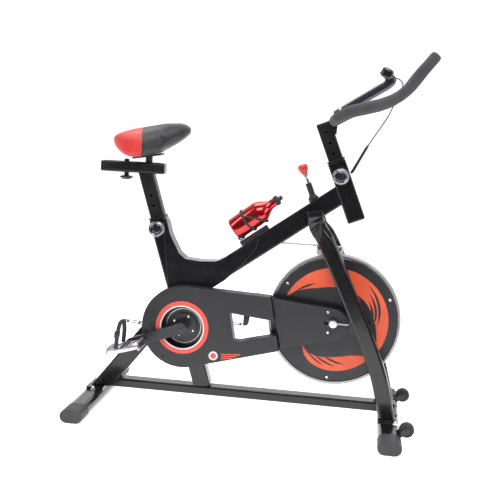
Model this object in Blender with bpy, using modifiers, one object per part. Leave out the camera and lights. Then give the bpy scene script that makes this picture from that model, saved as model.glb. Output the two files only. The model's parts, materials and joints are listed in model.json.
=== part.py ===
"""Indoor spin bike, built as separate named pieces.

Metres. +X points forward, +Y to the rider's left, +Z up. The origin is on the
floor, under the middle of the bike. The drive side, with the chain guard, is
the rider's right (-Y).
"""
import math

import bmesh
import bpy
from mathutils import Matrix, Vector

for old in list(bpy.data.objects):
    bpy.data.objects.remove(old, do_unlink=True)

# ---------------------------------------------------------------- fits
GAP = 0.0003                 # between faces that touch
RUN = 0.0006                 # radial room round a part that turns
SLIDE = 0.0004               # room on each side of a part that slides
RIGHT, LEFT = -1, 1          # side of the bike, as the sign of Y

# ---------------------------------------------------------------- feet
FOOT_SPAN = 0.520            # overall width of the bike, over the end caps
FOOT_WIDTH = 0.068
FOOT_HEIGHT = 0.038
CAP_WALL = 0.002
CAP_LENGTH = 0.070
CAP_GRIP = 0.050             # how far a cap reaches over its tube
REAR_REACH = 0.292           # bottom bracket back to the rear foot
FRONT_REACH = 0.663          # bottom bracket forward to the front foot
PAD_HEIGHT = 0.008           # welded pads between the feet and the frame

# ---------------------------------------------------------------- transport wheels
WHEEL_RADIUS = 0.0225
WHEEL_WIDTH = 0.020
WHEEL_FORWARD = 0.0495       # ahead of the front foot's middle
WHEEL_Z = 0.050
WHEEL_Y = 0.165
WHEEL_PIN = 0.004
EAR_THICK = 0.004

# ---------------------------------------------------------------- frame tubes
BB_Z = 0.278                 # bottom bracket height
SEAT_LEAN = math.radians(17.3)
HEAD_LEAN = math.radians(22.6)
TUBE_DEPTH = 0.055           # seat and head tube, fore and aft
TUBE_WIDTH = 0.046
TUBE_WALL = 0.003
CORNER = 0.005               # rounding along the tubes
SEAT_TUBE_TOP = 0.350        # along the tube, from the bottom bracket
SOCKET_FLOOR = 0.085         # where the post's socket ends, along the tube
RAIL_WIDTH = 0.048
RAIL_HEIGHT = 0.029
STRUT_DEPTH = 0.055
STRUT_JOINT = 0.090          # where the rear strut meets the seat tube
TOP_DEPTH = 0.058
TOP_JOINT = 0.088            # where the top tube meets the seat tube
TOP_HEAD = 0.0988             # where the top tube meets the head tube
HEAD_FORWARD = 0.5205        # head tube's lower end, from the bottom bracket
HEAD_RISE = 0.366
HEAD_LENGTH = 0.195
CHEEK = 0.002                # gusset's side plates
SHELL_RADIUS = 0.022         # bottom bracket shell
SHELL_HALF = 0.034

# ---------------------------------------------------------------- posts and pins
POST_DEPTH = 0.045
POST_WIDTH = 0.037
BUSH_REACH = 0.070           # bushing's depth in its tube
BUSH_LIP = 0.004
HOLE_PITCH = 0.035
PIN_RADIUS = 0.004
SEAT_PIN_UP = 0.3200         # pop pin, along the seat tube
HEAD_PIN_UP = 0.148          # pop pin, along the head tube
SEAT_POST_FOOT = 0.200
HEAD_POST_FOOT = 0.085
HEAD_POST_TOP = 0.318
PIN_BARREL = 0.0105
PIN_REACH = 0.028            # barrel's length out from the tube
KNOB_RADIUS = 0.0255
KNOB_DEPTH = 0.020

# ---------------------------------------------------------------- flywheel
AXLE_REACH = 0.4715          # bottom bracket forward to the flywheel axle
AXLE_RISE = 0.052
FLY_RADIUS = 0.207
FLY_HALF = 0.020             # half the rim's thickness
RIM_INNER = FLY_RADIUS - 0.042
WEB_HALF = 0.006
HUB_RADIUS = 0.026
HUB_HALF = 0.032
DISC_RADIUS = FLY_RADIUS - 0.008
DISC_THICK = 0.0015
AXLE_RADIUS = 0.006
AXLE_HALF = 0.074
SPROCKET_RADIUS = 0.0283
SPROCKET_THICK = 0.003

# ---------------------------------------------------------------- drive
CHAIN_Y = -(TUBE_WIDTH / 2 + CHEEK + 0.0157)   # clear of the frame's side plates
CHAIN_WIDTH = 0.008
CHAIN_DEPTH = 0.006
RING_RADIUS = 0.103
RING_THICK = 0.003
CRANK = 0.172
CRANK_ANGLE = math.radians(200.0)     # right arm, from +X towards +Z
CRANK_THICK = 0.014
CRANK_Y = 0.0403 - CHAIN_Y   # middle of each arm
SPINDLE_RADIUS = 0.0085
CARTRIDGE_RADIUS = 0.0167
SPIDER_RADIUS = 0.042
PEDAL_PIN = 0.006
PEDAL_INNER = CRANK_Y + 0.018
PEDAL_WIDTH = 0.078
PEDAL_LENGTH = 0.106
PEDAL_TILT = math.radians(16.0)
PEDAL_HEIGHT = 0.026
PEDAL_BARREL = 0.013
CAGE_THICK = 0.0025
CAGE_BAND = 0.030
STRAP_WIDTH = 0.014
STRAP_RISE = 0.084
STRAP_BACK = 0.020           # strap's foot, behind the pedal's axle
STRAP_LEAN = 0.010           # strap's top, ahead of the pedal's axle

# ---------------------------------------------------------------- chain guard
GUARD_RADIUS = 0.130
GUARD_WALL = 0.0025
GUARD_FACE = CHAIN_Y - 0.0273          # outer face
GUARD_BACK = CHAIN_Y + 0.0104          # rim of the shell, against the inner plate
COVER_FACE = GUARD_FACE + 0.0115
PLATE_THICK = 0.002
GUARD_EYE = 0.066            # round opening at the crank
TRIM_OUTER = 0.085
TRIM_THICK = 0.002
COVER_RADIUS = 0.049
COVER_DROP = 0.006           # front cover's arc sits this far below the axle
GUARD_TOP = (0.2745, 0.119)  # front corners of the guard, from the crank
GUARD_FOOT = (0.3085, -0.050)

# ---------------------------------------------------------------- fork
FORK_DEPTH = 0.050
FORK_WIDTH = 0.030
FORK_HALF = 0.078            # middle of each leg, at the wheel
LUG_THICK = 0.005            # axle lug on each leg
LUG_Y = 0.050

# ---------------------------------------------------------------- brake
BRAKE_ALONG = 0.5244          # rod's axis on the top tube, from the seat tube
ROD_RADIUS = 0.005
GUIDE_RADIUS = 0.0095
GUIDE_LENGTH = 0.048
BRAKE_KNOB_RADIUS = 0.0165
BRAKE_KNOB_UP = 0.081        # knob's underside over the top tube
BRAKE_GAP = 0.0035           # felt pad to rim, brake off
PAD_LENGTH = 0.080
PAD_THICK = 0.018
PAD_WIDTH = 0.030
ARM_THICK = 0.002
ARM_BACK = 0.170             # leaf's anchor behind the pad's middle

# ---------------------------------------------------------------- seat
SLIDER_LENGTH = 0.198
SLIDER_WIDTH = 0.040
SLIDER_HEIGHT = 0.034
SLIDER_WALL = 0.003
SLIDER_Z = 0.768             # middle of the tube
SLIDER_BACK = 0.0380         # tube's middle behind the seat post's top
CLAMP_BACK = 0.0230          # clamp bolt behind the tube's middle
STEM_RADIUS = 0.011
STEM_FORWARD = 0.0490        # saddle stem ahead of the tube's middle
SADDLE_TILT = math.radians(10.0)
SADDLE_UP = 0.018            # saddle's datum over the slider tube
BASE_THICK = 0.006

# ---------------------------------------------------------------- handlebar
BAR_RADIUS = 0.0125
GRIP_RADIUS = 0.0158
BAR_HALF = 0.222             # each arm's distance from the middle
ARM_RADIUS = 0.0135          # console arm
POD_LENGTH = 0.040
POD_HEIGHT = 0.034
POD_WIDTH = 0.062

# ---------------------------------------------------------------- bottle
BOTTLE_RADIUS = 0.0365
BOTTLE_LENGTH = 0.150
BOTTLE_RISE = math.radians(37.9)
BOTTLE_ALONG = 0.269         # bottle's base along the top tube
BOTTLE_UP = 0.0854           # bottle's axis over the top tube's axis, at its base
CAP_HEIGHT = 0.026

# ---------------------------------------------------------------- places
FOOT_Z = FOOT_HEIGHT / 2 + CAP_WALL
FOOT_TOP = FOOT_HEIGHT + CAP_WALL
PAD_TOP = FOOT_TOP + PAD_HEIGHT - GAP
RAIL_Z = PAD_TOP + GAP + RAIL_HEIGHT / 2
RAIL_TOP = RAIL_Z + RAIL_HEIGHT / 2
REAR_END = REAR_REACH + FOOT_WIDTH / 2 + CAP_WALL
FRONT_END = FRONT_REACH + WHEEL_FORWARD + WHEEL_RADIUS
BB_X = (REAR_END - FRONT_END) / 2      # keeps the origin under the middle
BB = Vector((BB_X, 0, BB_Z))
REAR_X = BB_X - REAR_REACH
FRONT_X = BB_X + FRONT_REACH
AXLE = Vector((BB_X + AXLE_REACH, 0, BB_Z + AXLE_RISE))
BRAKE_TOP = AXLE.z + FLY_RADIUS + BRAKE_GAP + PAD_THICK      # top of the felt pad
LEAF_Z = BRAKE_TOP + GAP + ARM_THICK / 2                     # middle of its leaf
HEAD = Vector((BB_X + HEAD_FORWARD, 0, BB_Z + HEAD_RISE))


def leaning(start, lean, up, forward=0.0, y=0.0):
    """A point on an axis that leans back from vertical by lean."""
    axis = Vector((-math.sin(lean), 0, math.cos(lean)))
    ahead = Vector((math.cos(lean), 0, math.sin(lean)))
    return start + axis * up + ahead * forward + Vector((0, y, 0))


def seat_point(up, forward=0.0, y=0.0):
    return leaning(BB, SEAT_LEAN, up, forward, y)


def head_point(up, forward=0.0, y=0.0):
    return leaning(HEAD, HEAD_LEAN, up, forward, y)


TOP_START = seat_point(TOP_JOINT)
TOP_END = head_point(TOP_HEAD)
TOP_RISE = math.atan2(TOP_END.z - TOP_START.z, TOP_END.x - TOP_START.x)


def top_point(along, up=0.0, y=0.0):
    """A point along the top tube, raised square to it."""
    ahead = Vector((math.cos(TOP_RISE), 0, math.sin(TOP_RISE)))
    square = Vector((-math.sin(TOP_RISE), 0, math.cos(TOP_RISE)))
    return TOP_START + ahead * along + square * up + Vector((0, y, 0))


# ---------------------------------------------------------------- tools
def collection(name):
    group = bpy.data.collections.new(name)
    bpy.context.scene.collection.children.link(group)
    return group


bike = collection("spin_bike")
cutters = collection("cutters")


def place(name, data, location=(0, 0, 0), rotation=(0, 0, 0)):
    piece = bpy.data.objects.new(name, data)
    piece.location = location
    piece.rotation_euler = rotation
    bike.objects.link(piece)
    return piece


def as_tool(piece):
    """Move a piece out of the model, to cut or join another."""
    bike.objects.unlink(piece)
    cutters.objects.link(piece)
    piece.hide_render = True
    piece.display_type = "WIRE"
    return piece


def boolean(piece, operation, tools):
    for tool in tools:
        change = piece.modifiers.new(operation.lower(), "BOOLEAN")
        change.operation = operation
        change.object = as_tool(tool)
    return piece


def cut(piece, *tools):
    return boolean(piece, "DIFFERENCE", tools)


def join(piece, *tools):
    return boolean(piece, "UNION", tools)


def bevel(piece, width, segments=2, angle=40):
    edge = piece.modifiers.new("bevel", "BEVEL")
    edge.width = width
    edge.segments = segments
    edge.limit_method = "ANGLE"
    edge.angle_limit = math.radians(angle)
    return piece


def finish(piece, colour, roughness=0.4, metallic=0.0):
    """Give a piece its own material and smooth round faces."""
    look = bpy.data.materials.new(piece.name)
    look.use_nodes = True
    shader = look.node_tree.nodes["Principled BSDF"]
    shader.inputs["Base Color"].default_value = (*colour, 1.0)
    shader.inputs["Roughness"].default_value = roughness
    shader.inputs["Metallic"].default_value = metallic
    piece.data.materials.append(look)
    if piece.type == "MESH":
        piece.data.shade_smooth()
        piece.data.set_sharp_from_angle(angle=math.radians(35))
    return piece


def box(name, size, location, rotation=(0, 0, 0)):
    work = bmesh.new()
    bmesh.ops.create_cube(work, size=1.0)
    bmesh.ops.scale(work, vec=size, verts=work.verts)
    mesh = bpy.data.meshes.new(name)
    work.to_mesh(mesh)
    work.free()
    return place(name, mesh, location, rotation)


def beam(name, start, end, depth, width):
    """A rectangular bar from start to end, upright in the bike's middle plane."""
    run = end - start
    tilt = math.atan2(run.x, run.z)
    return box(name, (depth, width, run.length), (start + end) / 2, (0, tilt, 0))


def rod(name, radius, start, end, sides=24, end_radius=None):
    """A round bar, or a cone, from start to end."""
    run = Vector(end) - Vector(start)
    work = bmesh.new()
    bmesh.ops.create_cone(work, cap_ends=True, segments=sides, radius1=radius,
                          radius2=radius if end_radius is None else end_radius,
                          depth=run.length)
    mesh = bpy.data.meshes.new(name)
    work.to_mesh(mesh)
    work.free()
    middle = (Vector(start) + Vector(end)) / 2
    return place(name, mesh, middle, run.to_track_quat("Z", "X").to_euler())


def turned(name, profile, centre, axis, steps=48):
    """A turned shape: (radius, height) pairs down the outside, about axis."""
    mesh = bpy.data.meshes.new(name)
    points = [(radius, 0, height) for radius, height in profile]
    edges = [(i, i + 1) for i in range(len(points) - 1)]
    if profile[0][0] > 0:
        edges.append((len(points) - 1, 0))
    mesh.from_pydata(points, edges, [])
    piece = place(name, mesh, centre, Vector(axis).to_track_quat("Z", "X").to_euler())
    screw = piece.modifiers.new("turn", "SCREW")
    screw.steps = steps
    screw.render_steps = steps
    screw.use_merge_vertices = True
    screw.merge_threshold = 0.00001
    screw.use_smooth_shade = False
    return piece


def to_mesh(piece):
    """Swap a curve for a welded mesh of the same name, in the same place."""
    bpy.context.view_layer.update()
    graph = bpy.context.evaluated_depsgraph_get()
    mesh = bpy.data.meshes.new_from_object(piece.evaluated_get(graph))
    work = bmesh.new()
    work.from_mesh(mesh)
    bmesh.ops.remove_doubles(work, verts=work.verts, dist=0.00001)
    bmesh.ops.recalc_face_normals(work, faces=work.faces)
    work.to_mesh(mesh)
    work.free()
    name, matrix = piece.name, piece.matrix_world.copy()
    bpy.data.objects.remove(piece, do_unlink=True)
    solid = place(name, mesh)
    solid.matrix_world = matrix
    return solid


def spline(curve, points, closed):
    line = curve.splines.new("POLY")
    line.points.add(len(points) - 1)
    for knot, point in zip(line.points, points):
        knot.co = (*point, 0.0, 1.0) if len(point) == 2 else (*point, 1.0)
    line.use_cyclic_u = closed


FACING = {"Y": (math.pi / 2, 0, 0), "X": (math.pi / 2, 0, math.pi / 2), "Z": (0, 0, 0)}


def plate(name, outline, low, high, facing="Y"):
    """A flat outline given thickness from low to high along its facing axis."""
    curve = bpy.data.curves.new(name, "CURVE")
    curve.dimensions = "2D"
    curve.fill_mode = "BOTH"
    curve.extrude = (high - low) / 2
    spline(curve, outline, True)
    middle = (low + high) / 2
    spot = {"Y": (0, middle, 0), "X": (middle, 0, 0), "Z": (0, 0, middle)}[facing]
    return to_mesh(place(name, curve, spot, FACING[facing]))


def smooth_path(points, steps=6):
    """A smooth curve through the points (Catmull-Rom)."""
    knots = [Vector(p) for p in points]
    knots = [2 * knots[0] - knots[1]] + knots + [2 * knots[-1] - knots[-2]]
    line = []
    for a, b, c, d in zip(knots, knots[1:], knots[2:], knots[3:]):
        for i in range(steps):
            t = i / steps
            line.append(0.5 * (2 * b + (c - a) * t + (2 * a - 5 * b + 4 * c - d) * t * t
                               + (3 * b - a - 3 * c + d) * t ** 3))
    return line + [knots[-2]]


def tube(name, points, radius, resolution=2):
    """A round bar along a path."""
    curve = bpy.data.curves.new(name, "CURVE")
    curve.dimensions = "3D"
    curve.bevel_depth = radius
    curve.bevel_resolution = resolution
    curve.use_fill_caps = True
    spline(curve, points, False)
    return place(name, curve)


def swept(name, points, section):
    """A bar of the given section along a path, kept upright."""
    shape = bpy.data.curves.new(name + "_section", "CURVE")
    shape.dimensions = "2D"
    spline(shape, section, True)
    guide = as_tool(place(name + "_section", shape))
    curve = bpy.data.curves.new(name, "CURVE")
    curve.dimensions = "3D"
    curve.twist_mode = "Z_UP"
    curve.bevel_mode = "OBJECT"
    curve.bevel_object = guide
    curve.use_fill_caps = True
    spline(curve, points, False)
    return to_mesh(place(name, curve))


def arc(centre, radius, start, end, steps):
    """Points on an arc, both ends included; angles in radians."""
    angles = [start + (end - start) * i / steps for i in range(steps + 1)]
    return [(centre[0] + radius * math.cos(a), centre[1] + radius * math.sin(a)) for a in angles]


def link(first, first_radius, second, second_radius, steps=16):
    """The outline of a belt round two circles."""
    run = (second[0] - first[0], second[1] - first[1])
    heading = math.atan2(run[1], run[0])
    lean = math.acos((first_radius - second_radius) / math.hypot(*run))
    return (arc(first, first_radius, heading + lean, heading + 2 * math.pi - lean, steps)
            + arc(second, second_radius, heading - lean, heading + lean, steps))


def stadium(width, height, centre=(0, 0), steps=6):
    half = (width - height) / 2
    left, right = (centre[0] - half, centre[1]), (centre[0] + half, centre[1])
    return link(left, height / 2, right, height / 2, steps)


def rounded(width, height, radius, steps=3):
    """A rectangle with round corners, about its middle."""
    x, y = width / 2 - radius, height / 2 - radius
    corners = [(x, y), (-x, y), (-x, -y), (x, -y)]
    outline = []
    for i, corner in enumerate(corners):
        outline += arc(corner, radius, i * math.pi / 2, (i + 1) * math.pi / 2, steps)
    return outline


def inset(outline, distance):
    """A convex anticlockwise outline moved inwards; outwards when negative."""
    moved = []
    count = len(outline)
    for i in range(count):
        before, here, after = (Vector(outline[(i + k) % count]) for k in (-1, 0, 1))
        first, second = (here - before).normalized(), (after - here).normalized()
        inward = Vector((-first.y - second.y, first.x + second.x))
        share = 1 + first.dot(second)
        moved.append(tuple(here + inward * (distance / share)))
    return moved


def ribbon(line, thickness):
    """The outline of a bent strip whose middle follows line."""
    sides = ([], [])
    for i, here in enumerate(line):
        before, after = Vector(line[max(i - 1, 0)]), Vector(line[min(i + 1, len(line) - 1)])
        heading = (after - before).normalized()
        square = Vector((-heading.y, heading.x)) * thickness / 2
        sides[0].append(tuple(Vector(here) - square))
        sides[1].append(tuple(Vector(here) + square))
    return sides[0] + sides[1][::-1]


def flat(point):
    """A point's X and Z."""
    return (point.x, point.z)


# ---------------------------------------------------------------- colours
BLACK = (0.012, 0.012, 0.014)
DARK = (0.030, 0.030, 0.034)
GREY = (0.10, 0.10, 0.11)
STEEL = (0.62, 0.62, 0.64)
RED = (0.60, 0.025, 0.020)
FELT = (0.55, 0.47, 0.36)


# ---------------------------------------------------------------- feet and wheels
def ear_outline():
    """A wheel ear's side view, from the foot's top front edge to the wheel pin."""
    root = (FRONT_X + FOOT_WIDTH / 2 - 0.014, FOOT_TOP - 0.010)
    pin = (FRONT_X + WHEEL_FORWARD, WHEEL_Z)
    return link(root, 0.008, pin, 0.009, 8)


def foot(name, x):
    middle = FOOT_SPAN / 2 - CAP_LENGTH + CAP_GRIP - GAP
    return plate(name, stadium(FOOT_WIDTH, FOOT_HEIGHT, (x, FOOT_Z)), -middle, middle)


def pad(x, length, y, width):
    """A welded pad on top of a foot."""
    low = FOOT_TOP - 0.004
    return box("pad", (length, width, PAD_TOP - low), (x, y, (PAD_TOP + low) / 2))


def feet():
    rear = foot("rear_foot", REAR_X)
    join(rear, pad(REAR_X + 0.004, 0.056, 0, 0.090))
    front = foot("front_foot", FRONT_X)
    join(front, pad(FRONT_X, 0.050, 0, 0.070))
    for side in (RIGHT, LEFT):
        join(front, pad(FRONT_X - 0.006, 0.058, side * FORK_HALF, 0.040))
        inner = WHEEL_Y - WHEEL_WIDTH / 2 - RUN
        outer = WHEEL_Y + WHEEL_WIDTH / 2 + RUN
        for low in (inner - EAR_THICK, outer):
            ends = sorted((side * low, side * (low + EAR_THICK)))
            join(front, plate("ear", ear_outline(), *ends))
        pin = Vector((FRONT_X + WHEEL_FORWARD, 0, WHEEL_Z))
        reach = Vector((0, side, 0))
        join(front, rod("wheel_pin", WHEEL_PIN, pin + reach * (inner - EAR_THICK - 0.002),
                        pin + reach * (outer + EAR_THICK + 0.002), 16))
    for piece in (rear, front):
        finish(piece, BLACK, 0.35)


def foot_caps():
    for name, x in (("rear", REAR_X), ("front", FRONT_X)):
        for side, label in ((RIGHT, "right"), (LEFT, "left")):
            outer = FOOT_SPAN / 2
            ends = sorted((side * outer, side * (outer - CAP_LENGTH)))
            outline = stadium(FOOT_WIDTH + 2 * CAP_WALL, FOOT_HEIGHT + 2 * CAP_WALL, (x, FOOT_Z))
            cap = bevel(plate(f"{name}_foot_cap_{label}", outline, *ends), 0.004, 1)
            mouth = sorted((side * (outer - CAP_LENGTH - 0.010),
                            side * (outer - CAP_LENGTH + CAP_GRIP)))
            hole = inset(stadium(FOOT_WIDTH, FOOT_HEIGHT, (x, FOOT_Z)), -GAP)
            finish(cut(cap, plate("cap_mouth", hole, *mouth)), GREY, 0.55)


def transport_wheels():
    for side, label in ((RIGHT, "right"), (LEFT, "left")):
        centre = (FRONT_X + WHEEL_FORWARD, side * WHEEL_Y, WHEEL_Z)
        half, bore = WHEEL_WIDTH / 2, WHEEL_PIN + RUN
        profile = [(bore, half), (WHEEL_RADIUS - 0.003, half), (WHEEL_RADIUS, half - 0.003),
                   (WHEEL_RADIUS, 0.003 - half), (WHEEL_RADIUS - 0.003, -half), (bore, -half)]
        wheel = turned(f"transport_wheel_{label}", profile, centre, (0, 1, 0), 24)
        finish(wheel, GREY, 0.6)


# ---------------------------------------------------------------- frame
def seat_tube_block(name, spare=0.0, up=SEAT_TUBE_TOP):
    return beam(name, seat_point(-0.215), seat_point(up), TUBE_DEPTH + 2 * spare,
                TUBE_WIDTH + 2 * spare)


def head_tube_block(name, spare=0.0):
    return beam(name, head_point(-spare), head_point(HEAD_LENGTH + spare),
                TUBE_DEPTH + 2 * spare, TUBE_WIDTH + 2 * spare)


def top_tube_block(name, spare=0.0):
    return beam(name, TOP_START, TOP_END, TOP_DEPTH + 2 * spare, TUBE_WIDTH + 2 * spare)


def rail_block(name, spare=0.0):
    start, end = REAR_X + 0.012, FRONT_X + 0.020
    size = (end - start, RAIL_WIDTH + 2 * spare, RAIL_HEIGHT + 2 * spare)
    return box(name, size, ((start + end) / 2, 0, RAIL_Z))


def strut_block(name, spare=0.0):
    start = Vector((REAR_X, 0, FOOT_Z))
    return beam(name, start, seat_point(STRUT_JOINT), STRUT_DEPTH + 2 * spare,
                TUBE_WIDTH + 2 * spare)


def pin_seat(piece, point):
    """Weld a pop pin's barrel to a tube's right side, and bore it."""
    wall = -TUBE_WIDTH / 2
    out = Vector((0, -1, 0))
    face = point + Vector((0, wall, 0))
    join(piece, rod("pin_barrel", PIN_BARREL, face - out * 0.0015, face + out * PIN_REACH, 20))
    cut(piece, rod("pin_bore", PIN_RADIUS + SLIDE, face - out * 0.008, face + out * 0.08, 16))
    return piece


def socket(name, point_at, low, high):
    """The inside of a tube that takes a bushing and a post."""
    return beam(name, point_at(low), point_at(high), TUBE_DEPTH - 2 * TUBE_WALL,
                TUBE_WIDTH - 2 * TUBE_WALL)


def frame_tubes():
    rail = bevel(rail_block("base_rail"), CORNER)
    cut(rail, strut_block("strut_room", GAP))
    strut = bevel(strut_block("rear_strut"), CORNER)
    cut(strut, seat_tube_block("seat_room", GAP, SEAT_TUBE_TOP))
    cut(strut, box("foot_room", (0.2, 0.2, 0.1), (REAR_X, 0, PAD_TOP + GAP - 0.05)))
    top = bevel(top_tube_block("top_tube"), CORNER)
    cut(top, seat_tube_block("seat_room", GAP), head_tube_block("head_room", GAP))
    cut(top, strut_block("strut_room", GAP))
    rod_start, rod_end = brake_axis(-0.08), brake_axis(0.08)
    cut(top, rod("rod_room", ROD_RADIUS + RUN, rod_start, rod_end, 20))
    start = pad_middle() - ARM_BACK
    join(top, box("anchor", (0.030, 0.030, 0.030), (start - 0.001, 0, LEAF_Z + 0.012)))
    cut(top, box("leaf_room", (0.080, 0.026, ARM_THICK + 2 * GAP), (start + 0.030, 0, LEAF_Z)))
    for piece in (rail, strut, top):
        finish(piece, BLACK, 0.25)
    seat_tube()
    head_tube()


def seat_tube():
    piece = bevel(seat_tube_block("seat_tube"), CORNER)
    shell = rod("shell", SHELL_RADIUS, BB + Vector((0, -SHELL_HALF, 0)),
                BB + Vector((0, SHELL_HALF, 0)), 32)
    cut(piece, socket("post_room", seat_point, SOCKET_FLOOR, SEAT_TUBE_TOP + 0.05))
    join(piece, shell)
    cut(piece, rod("shell_bore", CARTRIDGE_RADIUS + GAP, BB + Vector((0, -0.06, 0)),
                   BB + Vector((0, 0.06, 0)), 32))
    cut(piece, rail_block("rail_room", GAP))
    pin_seat(piece, seat_point(SEAT_PIN_UP))
    finish(piece, BLACK, 0.25)


def head_tube():
    piece = bevel(head_tube_block("head_tube"), CORNER)
    cut(piece, socket("post_room", head_point, 0.006, HEAD_LENGTH + 0.05))
    pin_seat(piece, head_point(HEAD_PIN_UP))
    finish(piece, BLACK, 0.25)


def gusset():
    """Side plates over the seat joint, with a web that fills its upper corner."""
    heel = flat(seat_point(0.130, -TUBE_DEPTH / 2 + 0.004))
    back = flat(seat_point(0.330, TUBE_DEPTH / 2 - 0.012))
    lip = flat(seat_point(0.338, TUBE_DEPTH / 2 + 0.002))
    throat = smooth_path([seat_point(0.290, 0.0285), seat_point(0.250, 0.036),
                          seat_point(0.205, 0.055), top_point(0.168, 0.034),
                          top_point(0.215, 0.0293), top_point(0.255, 0.026)], 2)
    throat = [flat(p) for p in throat]
    nose = [flat(top_point(0.330, TOP_DEPTH / 2 - 0.006)),
            flat(top_point(0.300, 0.0)),
            flat(top_point(0.240, -0.020)),
            flat(top_point(0.160, -TOP_DEPTH / 2 - 0.003)),
            flat(top_point(0.060, -TOP_DEPTH / 2 - 0.003))]
    outline = [heel] + nose[::-1] + throat[::-1] + [lip, back]
    half = TUBE_WIDTH / 2 + GAP + CHEEK
    piece = bevel(plate("frame_gusset", outline, -half, half), 0.0015, 2, 60)
    cut(piece, seat_tube_block("seat_room", GAP), top_tube_block("top_room", GAP))
    cut(piece, strut_block("strut_room", GAP))
    finish(piece, BLACK, 0.22)


def bushing(name, point_at, top):
    """A plastic liner between a tube and its post, with a lip on top."""
    outer = (TUBE_DEPTH - 2 * TUBE_WALL - 2 * GAP, TUBE_WIDTH - 2 * TUBE_WALL - 2 * GAP)
    low, high = top - BUSH_REACH, top + GAP + BUSH_LIP
    piece = beam(name, point_at(low), point_at(high), *outer)
    join(piece, beam("lip", point_at(top + GAP), point_at(high), TUBE_DEPTH, TUBE_WIDTH))
    cut(piece, beam("post_room", point_at(low - 0.02), point_at(high + 0.02),
                    POST_DEPTH + 2 * SLIDE, POST_WIDTH + 2 * SLIDE))
    return finish(piece, DARK, 0.6)


def bushings():
    for name, point_at, top, up in (("seat_bushing", seat_point, SEAT_TUBE_TOP, SEAT_PIN_UP),
                                    ("head_bushing", head_point, HEAD_LENGTH, HEAD_PIN_UP)):
        piece = bushing(name, point_at, top)
        side = point_at(up)
        cut(piece, rod("pin_room", PIN_RADIUS + SLIDE, side + Vector((0, -0.03, 0)),
                       side + Vector((0, -0.010, 0)), 16))


def pop_pins():
    """A pull knob on each tube, with the pin that drops into the post's holes."""
    for name, point_at, up in (("seat_pin_knob", seat_point, SEAT_PIN_UP),
                               ("head_pin_knob", head_point, HEAD_PIN_UP)):
        start = TUBE_WIDTH / 2 + PIN_REACH + GAP
        tip = POST_WIDTH / 2 + SLIDE
        depth = KNOB_DEPTH
        profile = [(0, start + depth), (KNOB_RADIUS - 0.009, start + depth),
                   (KNOB_RADIUS - 0.007, start + depth - 0.002),
                   (KNOB_RADIUS - 0.003, start + depth),
                   (KNOB_RADIUS, start + depth - 0.004), (KNOB_RADIUS, start + 0.006),
                   (KNOB_RADIUS - 0.008, start), (PIN_RADIUS, start), (PIN_RADIUS, tip), (0, tip)]
        knob = turned(name, profile, point_at(up), (0, -1, 0), 20)
        finish(knob, STEEL, 0.2, 1.0)


# ---------------------------------------------------------------- fork
def fork_line(side):
    """The middle of a fork leg, from the top tube's side down to the front foot."""
    root = TUBE_WIDTH / 2 + GAP + FORK_WIDTH / 2
    foot_x = FRONT_X - 0.008
    spots = [(top_point(0.520, 0.002).x, root, top_point(0.520, 0.002).z),
             (top_point(0.500, -0.045).x, root + 0.001, top_point(0.500, -0.045).z),
             (AXLE.x - 0.040, 0.060, AXLE.z + 0.255),
             (AXLE.x + 0.001, 0.074, AXLE.z + 0.177),
             (AXLE.x + 0.050, FORK_HALF, AXLE.z + 0.075),
             (AXLE.x + 0.097, FORK_HALF, AXLE.z - 0.024),
             (AXLE.x + 0.134, FORK_HALF, AXLE.z - 0.110),
             (foot_x - 0.024, FORK_HALF, PAD_TOP + 0.098),
             (foot_x + 0.004, FORK_HALF, PAD_TOP - 0.012)]
    return [(x, side * y, z) for x, y, z in spots]


def fork_legs():
    for side, label in ((RIGHT, "right"), (LEFT, "left")):
        section = rounded(FORK_WIDTH, FORK_DEPTH, 0.008, 2)
        leg = swept(f"fork_leg_{label}", smooth_path(fork_line(side), 3), section)
        cut(leg, top_tube_block("top_room", GAP))
        cut(leg, box("foot_room", (0.2, 0.1, 0.1),
                     (FRONT_X, side * FORK_HALF, PAD_TOP + GAP - 0.05)))
        lug_low, lug_high = LUG_Y - LUG_THICK / 2, LUG_Y + LUG_THICK / 2
        lug = link(flat(AXLE), 0.020, (AXLE.x + 0.085, AXLE.z - 0.004), 0.030, 12)
        join(leg, plate("lug", lug, *sorted((side * lug_low, side * lug_high))))
        tie = (AXLE.x + 0.086, side * (lug_low + FORK_HALF) / 2, AXLE.z - 0.004)
        join(leg, box("tie", (0.022, FORK_HALF - lug_low - 0.002, 0.036), tie, (0, 0.44, 0)))
        slot = stadium(0.080, 2 * (AXLE_RADIUS + GAP), (AXLE.x - 0.027, AXLE.z), 8)
        cut(leg, plate("slot", slot, *sorted((side * 0.040, side * 0.060))))
        finish(leg, BLACK, 0.22)


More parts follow.
